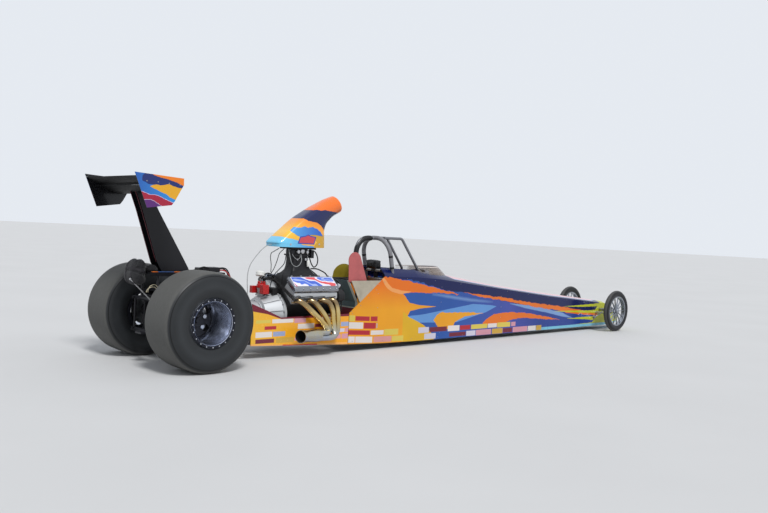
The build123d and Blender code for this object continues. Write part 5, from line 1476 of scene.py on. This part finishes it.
def arch(low_z, half, top_z, bend, steps=9):
    """Half of the hoop's arch, from a leg up to the middle."""
    points = [hoop_at(low_z, -half), hoop_at((low_z + top_z - bend) / 2, -half)]
    for k in range(steps):
        turn = math.pi / 2 * k / (steps - 1)
        points.append(hoop_at(top_z - bend + bend * math.sin(turn), -half + bend - bend * math.cos(turn)))
    points.append(hoop_at(top_z, 0))
    return points


one = arch(0.905, 0.232, 1.268, 0.2)
sleeve("hoop_sleeve", one[:-1] + [Vector((p.x, -p.y, p.z)) for p in reversed(one)], 0.0255, pad_grey)
sleeve("stay_sleeve", [at(x, 0, z) for x, z in ((2.585, 1.262), (2.52, 1.262), (2.462, 1.248), (2.408, 1.21),
        (2.374, 1.16), (2.3585, 1.105), (2.357, 1.04), (2.357, 0.96), (2.357, 0.88), (2.357, 0.815))], 0.03,
    vinyl)
piece("sleeve_tape", vinyl, [(turned, [(0.0257, -0.012), (0.0268, -0.011), (0.0268, 0.011), (0.0257, 0.012)],
        hoop_at(z, y), hoop_at(z + 0.1, y) - hoop_at(z, y), 32) for y in (-0.232, 0.232) for z in (0.93, 1.06)],
    40)
cage_pale = plain_finish("bright cross bar", (186, 184, 180), 0.34, 0.3, 0.08, 200, 0.03)
piece("shoulder_bar_sleeve", cage_pale, [(turned, [(0.0152, -0.2045), (0.0168, -0.2045), (0.0168, 0.2045),
        (0.0152, 0.2045)], at(2.729, 0, 0.885), Y_AXIS, 32)], 60)
print("head rest, sleeves and cross bar made")

# %% [markdown]
# The seat is a bent sheet with a thin pad on its back and another on its base. The harness comes over the
# shoulder bar, meets the lap belts at a round latch, and is webbing: flat ribbons that follow the pad.

# %% Seat pads and harness
def on_back(share, side, lift):
    """A point on the seat's back: 0 at its foot and 1 at its top, lifted off the sheet."""
    foot, top = Vector((2.93, 0, 0.144)), Vector((2.69, 0, 0.8))
    along = (top - foot).normalized()
    out = Vector((along.z, 0, -along.x))
    place = foot + (top - foot) * share + out * lift
    return at(place.x, side, place.z)


edges = ((-0.15, 0), (-0.15, 1), (0.15, 1), (0.15, 0))
back = [[on_back(share, y, 0.012 + 0.014 * lift) for y, lift in edges] for share in (0.1, 0.35, 0.65, 0.93)]
lean = (on_back(1, 0, 0) - on_back(0, 0, 0)).normalized()
puffed("seat_back_pad", back, vinyl, None, cap=0.008, channels=[(on_back(share, 0, 0), lean,
        0.0035, 0.006) for share in (0.25, 0.4, 0.55, 0.7, 0.85)])
base = [[at(x, y, z + 0.012 + 0.015 * lift) for y, lift in edges] for x, z in ((3.0, 0.126), (3.1, 0.134),
        (3.2, 0.142), (3.3, 0.149))]
puffed("seat_base_pad", base, vinyl, None, cap=0.008, channels=[(at(x, 0, 0), Vector((1, 0, 0)),
        0.0035, 0.006) for x in (3.08, 3.16, 3.24)])


def ribbon(build, points, across, width, thick=0.0022, steps=6):
    """A flat strap along a smooth curve through points, as wide as width along the given direction."""
    run = smooth_path(points, steps)
    rings = []
    for n, point in enumerate(run):
        along = (run[min(n + 1, len(run) - 1)] - run[max(n - 1, 0)]).normalized()
        side = (across - along * across.dot(along)).normalized() * width / 2
        up = along.cross(side).normalized() * thick / 2
        rings.append([point - side - up, point + side - up, point + side + up, point - side + up])
    stretched(build, rings)


straps = []
for side in RIGHT_LEFT:
    y = side * 0.078
    over = [at(x, y, z) for x, z in ((2.706, 0.868), (2.7115, 0.895), (2.729, 0.9035), (2.7465, 0.895),
            (2.752, 0.868))]
    down = [on_back(0.93, y * 1.02, 0.058), on_back(0.75, y * 1.05, 0.054), on_back(0.5, y, 0.054),
        on_back(0.3, side * 0.062, 0.06), at(2.985, side * 0.04, 0.262), at(3.01, side * 0.022, 0.232)]
    lap = [at(x, side * y, z) for x, y, z in ((2.975, 0.18, 0.165), (2.985, 0.165, 0.205), (3.0, 0.11, 0.222),
            (3.012, 0.04, 0.226), (3.014, 0.016, 0.226))]
    straps += [(ribbon, over + down, Y_AXIS, 0.07), (ribbon, lap, Vector((0.35, 0, 0.94)), 0.046)]
piece("harness", webbing, straps, 60)
piece("harness_latch", steel, [(turned, [(0, 0), (0.026, 0), (0.03, 0.003), (0.03, 0.01), (0.024, 0.014),
        (0.008, 0.016), (0, 0.016)], at(3.012, 0, 0.222), (0.94, 0, 0.35), 36),
        (brick, (3.016, -0.006, 0.24), (3.024, 0.006, 0.262))], 40)
print("seat pads and harness made")

# %% [markdown]
# The parachute is packed in a soft bag behind the deck, between the wheels. Its flaps are tucked in and straps go
# round it. The bag is puffed like the pads, and each strap finds its way round it by casting rays at the bag.

# %% Parachute bag and its straps
BAG_CENTRE = at(-0.355, 0, 0.862)
BAG_OUTLINE = [(-0.297, 0.752), (-0.298, 0.958), (-0.33, 0.986), (-0.398, 0.94), (-0.417, 0.82), (-0.4, 0.758),
    (-0.36, 0.738)]
bag_form = [[at(-0.355 + (x + 0.355) * grow, y, 0.862 + (z - 0.862) * grow) for x, z in BAG_OUTLINE] for y,
    grow in ((-0.12, 0.84), (-0.076, 0.98), (0, 1), (0.076, 0.98), (0.12, 0.84))]
bag = puffed("parachute_bag", bag_form, pack_cloth, "parachute_pack", cap=0.012,
    channels=[(at(-0.355, 0, 0.845), Vector((0.35, 0, 0.94)), 0.006, 0.007),
        (at(-0.355, 0, 0.9), Vector((0.1, 0, 1)), 0.003, 0.005)])


def strap_round(build, mesh, centre, facing, width, steps=72, lift=0.0012, thick=0.0022):
    """A strap once round a mesh's surface, in a plane through a point."""
    tree = BVHTree.FromPolygons([v.co for v in mesh.vertices], [p.vertices for p in mesh.polygons])
    facing = Vector(facing).normalized()
    one = facing.orthogonal().normalized()
    two = facing.cross(one)
    rings = []
    for n in range(steps + 1):
        turn = 2 * math.pi * n / steps
        out = one * math.cos(turn) + two * math.sin(turn)
        near, far = [(tree.ray_cast(middle + out, -out)[0] or middle + out * 0.05) for middle in (centre - facing
                * width / 2, centre + facing * width / 2)]
        rings.append([near + out * lift, far + out * lift, far + out * (lift + thick), near + out * (lift + thick)])
    stretched(build, rings)


piece("bag_straps", webbing, [(strap_round, bag.data, BAG_CENTRE - Y_AXIS * 0.052, Y_AXIS, 0.024),
        (strap_round, bag.data, BAG_CENTRE + Y_AXIS * 0.052, Y_AXIS, 0.024),
        (strap_round, bag.data, at(-0.355, 0, 0.878), (0.32, 0, 1), 0.02)], 40)
ROD_TOP, ROD_END = at(-0.428, -0.058, 0.8), at(-0.226, -0.085, 0.6)
top = max(v.co.z for v in bag.data.vertices)
buckles = [(brick, low, high) for y in (-0.064, 0.04) for low, high in (((-0.352, y, top - 0.002),
        (-0.322, y + 0.024, top + 0.003)), ((-0.344, y - 0.004, top + 0.003), (-0.332, y + 0.028, top + 0.006)))]
rod = [(turned, [(0, start), (radius, start), (radius, end), (0, end)], ROD_TOP, ROD_END - ROD_TOP, 20)
    for radius, start, end in ((0.0055, 0, 0.284), (0.0105, -0.004, 0.012))]
piece("bag_buckles_and_rod", aluminium, buckles + rod, 40, edge=0.0015)
flap = [[at(x, y * grow, z) for y, z in ((-0.085, 0.8735), (-0.075, height), (0.075, height), (0.085, 0.8735))]
    for x, grow, height in ((-0.272, 0.8, 0.9), (-0.235, 1.0, 0.928), (-0.19, 1.0, 0.925), (-0.15, 0.75, 0.892))]
puffed("deck_bag", flap, pack_cloth, None, cap=0.007)
LOOP = [(-0.3, -0.128, 0.68, 0), (-0.292, -0.15, 0.715, 1), (-0.25, -0.166, 0.732, 1), (-0.205, -0.168, 0.702, 0),
    (-0.196, -0.16, 0.66, 0), (-0.22, -0.146, 0.622, 0), (-0.25, -0.135, 0.6, 0)]
piece("cream_loops", cream_webbing, [(ribbon, [at(x + shift, y, z + reach * rise) for x, y, z, rise in LOOP],
        Y_AXIS, 0.01, 0.002) for shift, reach in ((0, 0), (0.016, 0.02))], 60)
print("parachute bag, straps, buckles and loops made")

# %% [markdown]
# Small things give a car its scale: the quarter-turn fasteners along the panels' edges, the rivets of the end
# plates, the strips on the deck. Rows of fasteners come from the tree, and each row is a path on the panel.

# %% Panel fasteners
BODY_EDGE = [(2.07, 0.45), (2.572, 0.815), (3.13, 0.802), (3.548, 0.775), (3.911, 0.737), (4.748, 0.646),
    (5.965, 0.514), (6.9, 0.43)]
BODY_LOW = [(2.1, 0.118), (2.572, 0.096), (3.13, 0.088), (3.911, 0.086), (4.748, 0.084), (6.9, 0.082)]


def body_half(x):
    """Half the body's width at x, from the two side panels' ends."""
    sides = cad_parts["body_sides"]
    corners = [sides.matrix_world @ Vector(c) for c in sides.bound_box]
    x0, x1 = (min(c.x for c in corners) + ORIGIN_X, max(c.x for c in corners) + ORIGIN_X)
    ends = {}
    for end, near in (("rear", x0), ("front", x1)):
        ends[end] = max(abs(v.co.y) for v in sides.data.vertices if abs(v.co.x + ORIGIN_X - near) < 0.02)
    return ends["rear"] + (ends["front"] - ends["rear"]) * (x - x0) / (x1 - x0)


rows = []
for side in RIGHT_LEFT:
    out = Vector((0, side, 0))
    for line, count, head in ((BODY_EDGE, 11, 0.0042), (BODY_LOW, 11, 0.0042),
            ([(2.085, 0.425), (2.42, 0.668), (2.56, 0.77)], 5, 0.0046), ([(2.47, 0.16), (2.47, 0.64)], 4, 0.0042),
            ([(3.57, 0.14), (3.57, 0.7)], 4, 0.0042), ([(4.8, 0.14), (4.8, 0.56)], 4, 0.0042)):
        path = [at(x, side * (body_half(x) + 0.0008), z) for x, z in line]
        rows.append((path, False, count, out, head, 0.0022, 0, 16))
    path = [at(x, side * 0.5084, z) for x, z in ((-0.532, 1.681), (-0.442, 1.68), (-0.301, 1.673), (-0.213, 1.67))]
    rows.append((path, False, 4, out, 0.0062, 0.003, 0, 16))
fasteners("panel_fasteners", rows, steel)
fasteners("scoop_bolts", [([at(x - 0.0001, side * 0.1503, z), at(x, side * 0.1503, z)], False, 1,
        Vector((0, side, 0)), 0.0075, 0.005, 0.011, 6) for side in RIGHT_LEFT for x,
        z in ((1.307, 1.164), (1.688, 1.174))], aluminium)
print("panel fasteners:", sum(row[2] for row in rows))

# %% [markdown]
# The wing's left end plate shows a bright stiffening strip inside, and a small square bracket joins the two
# elements. The pylon has a dark red edge strip. Painted strips run along the deck's side.

# %% Strips, brackets and deck
shapes = []
for side in RIGHT_LEFT:
    strip = [at(x, side * 0.5028, z) for x, z in ((-0.632, 1.725), (-0.19, 1.7075), (-0.19, 1.7015), (-0.632, 1.719))]
    shapes.append((plate, strip, Vector((0, -side * 0.003, 0))))
bracket = [at(x, 0.128, z) for x, z in ((-0.452, 1.668), (-0.4, 1.66), (-0.394, 1.694), (-0.446, 1.702))]
shapes += [(tube, [bracket[n], bracket[(n + 1) % 4]], 0.0032, 10) for n in range(4)]
piece("wing_strips", aluminium, shapes, 40)
piece("wing_gap_seal", wing_black, [(brick, (-0.4975, -0.5025, 1.6515), (-0.4925, 0.5025, 1.669))], 30)
BOSS = [(0, 0), (0.026, 0), (0.028, 0.003), (0.026, 0.007), (0.012, 0.009), (0.012, 0.028), (0, 0.028)]
NUT = [(0, 0.01), (0.016, 0.01), (0.018, 0.014), (0.018, 0.022), (0.016, 0.026), (0, 0.026)]
CLAMP = [(0.0155, -0.012), (0.0225, -0.012), (0.0225, 0.012), (0.0155, 0.012)]
shapes = []
for side in RIGHT_LEFT:
    mount = at(7.19, side * (body_half(7.19) + 0.004), 0.196)
    out = Vector((0, side, 0))
    link = [mount + out * 0.018, at(7.262, side * 0.19, 0.238), at(7.318, side * 0.214, 0.292)]
    shapes += [(turned, BOSS, mount, out, 28), (turned, NUT, mount, out, 28), (tube, link, 0.0075, 14),
        (turned, CLAMP, at(7.35, side * 0.214, 0.31), out, 32)]
piece("front_axle_links", spoke_alloy, shapes, 40)
maroon_trim = plain_finish("dark red trim", (96, 24, 40), 0.4, 0, 0.15, 120, 0.04)
piece("pylon_trim", maroon_trim, [(tube, [at(x, side * 0.052, z) for x, z in ((-0.1745, 0.96), (-0.3435, 1.442),
        (-0.418, 1.63))], 0.003, 10) for side in RIGHT_LEFT], 40)
orange_trim = plain_finish("orange strip", (226, 112, 34), 0.35, 0, 0.1, 120, 0.03)
blue_trim = plain_finish("blue strip", (52, 84, 140), 0.35, 0, 0.1, 120, 0.03)
for name, finish, spans in (("deck_strips_orange", orange_trim, ((-0.275, -0.215), (-0.05, 0.07), (0.22, 0.3))),
        ("deck_strips_blue", blue_trim, ((-0.213, -0.052), (0.072, 0.218)))):
    piece(name, finish, [(brick, (x0, y0, 0.8692), (x1, y1, 0.8745)) for x0, x1 in spans for y0,
            y1 in ((-0.183, -0.162), (0.162, 0.183))], 30, edge=0.0015)
piece("deck_boxes", panel_black, [(brick, (0.345, -0.145, 0.8692), (0.468, -0.03, 0.915)),
        (brick, (0.345, 0.035, 0.8692), (0.45, 0.135, 0.9))], 30, edge=0.007, segments=3)
lines("deck_lines", [(0.007, (0.355, -0.1, 0.905), (0.3, -0.11, 0.915), (0.24, -0.1, 0.895), (0.205, -0.07, 0.88),
        (0.19, -0.02, 0.8775)), (0.0075, (0.46, -0.09, 0.89), (0.52, -0.095, 0.9), (0.575, -0.09, 0.87),
        (0.61, -0.08, 0.8), (0.64, -0.06, 0.72), (0.69, -0.05, 0.64)),
        (0.006, (0.462, -0.06, 0.88), (0.53, -0.055, 0.905), (0.6, -0.05, 0.89), (0.65, -0.04, 0.82),
        (0.7, -0.03, 0.72), (0.76, -0.03, 0.64)), (0.0055, (0.44, 0.08, 0.89), (0.52, 0.085, 0.89),
        (0.58, 0.07, 0.84), (0.64, 0.05, 0.74), (0.72, 0.03, 0.64))], hose_black)
lines("deck_red_line", [(0.0055, (0.462, -0.12, 0.885), (0.53, -0.128, 0.88), (0.59, -0.125, 0.83),
        (0.64, -0.11, 0.75), (0.69, -0.09, 0.66))], red_mould)
print("strips, bracket, deck boxes and lines made")

# %% [markdown]
# The light is a soft, plain studio: a pale sky all round and one large lamp from above for gentle shadows. The
# background's white comes from the world as the camera and reflections see it, not from more light on the car.

# %% Floor and light
def studio():
    floor_mesh = bpy.data.meshes.new("floor")
    reach = 150
    floor_mesh.from_pydata([(-reach, -reach, 0), (reach, -reach, 0), (reach, reach, 0), (-reach, reach, 0)], [],
        [(0, 1, 2, 3)])
    floor = bpy.data.objects.new("floor", floor_mesh)
    scene.collection.objects.link(floor)
    look_of = Finish("pale floor", Roughness=0.8)
    look_of.set("Base Color", look_of.mix(look_of.noise(0.6, 3.0), shade(196, 196, 196), shade(204, 204, 204)))
    floor_mesh.materials.append(look_of.material)
    world = bpy.data.worlds.new("studio")
    scene.world = world
    world.use_nodes = True
    world.node_tree.nodes.clear()
    nodes = wired(world.node_tree, {"ray": "ShaderNodeLightPath", "seen": "ShaderNodeMath",
            "seen_too": "ShaderNodeMath", "strength": "ShaderNodeMapRange", "sky": "ShaderNodeBackground",
            "end": "ShaderNodeOutputWorld"}, (("ray", "Is Camera Ray", "seen", 0),
            ("ray", "Is Transmission Ray", "seen", 1), ("seen", 0, "seen_too", 0),
            ("ray", "Is Glossy Ray", "seen_too", 1), ("seen_too", 0, "strength", "Value"),
            ("strength", 0, "sky", "Strength"), ("sky", 0, "end", "Surface")))
    nodes["seen"].operation = nodes["seen_too"].operation = "MAXIMUM"
    nodes["strength"].inputs["To Min"].default_value = 0.62
    nodes["strength"].inputs["To Max"].default_value = 0.92
    nodes["sky"].inputs["Color"].default_value = shade(238, 243, 250)
    sun = bpy.data.objects.new("sun", bpy.data.lights.new("sun", "SUN"))
    sun.data.energy = 2.4
    sun.data.angle = math.radians(14)
    sun.rotation_euler = (math.radians(38), 0, math.radians(-20))
    scene.collection.objects.link(sun)


studio()
print("floor, sky and one soft sun")
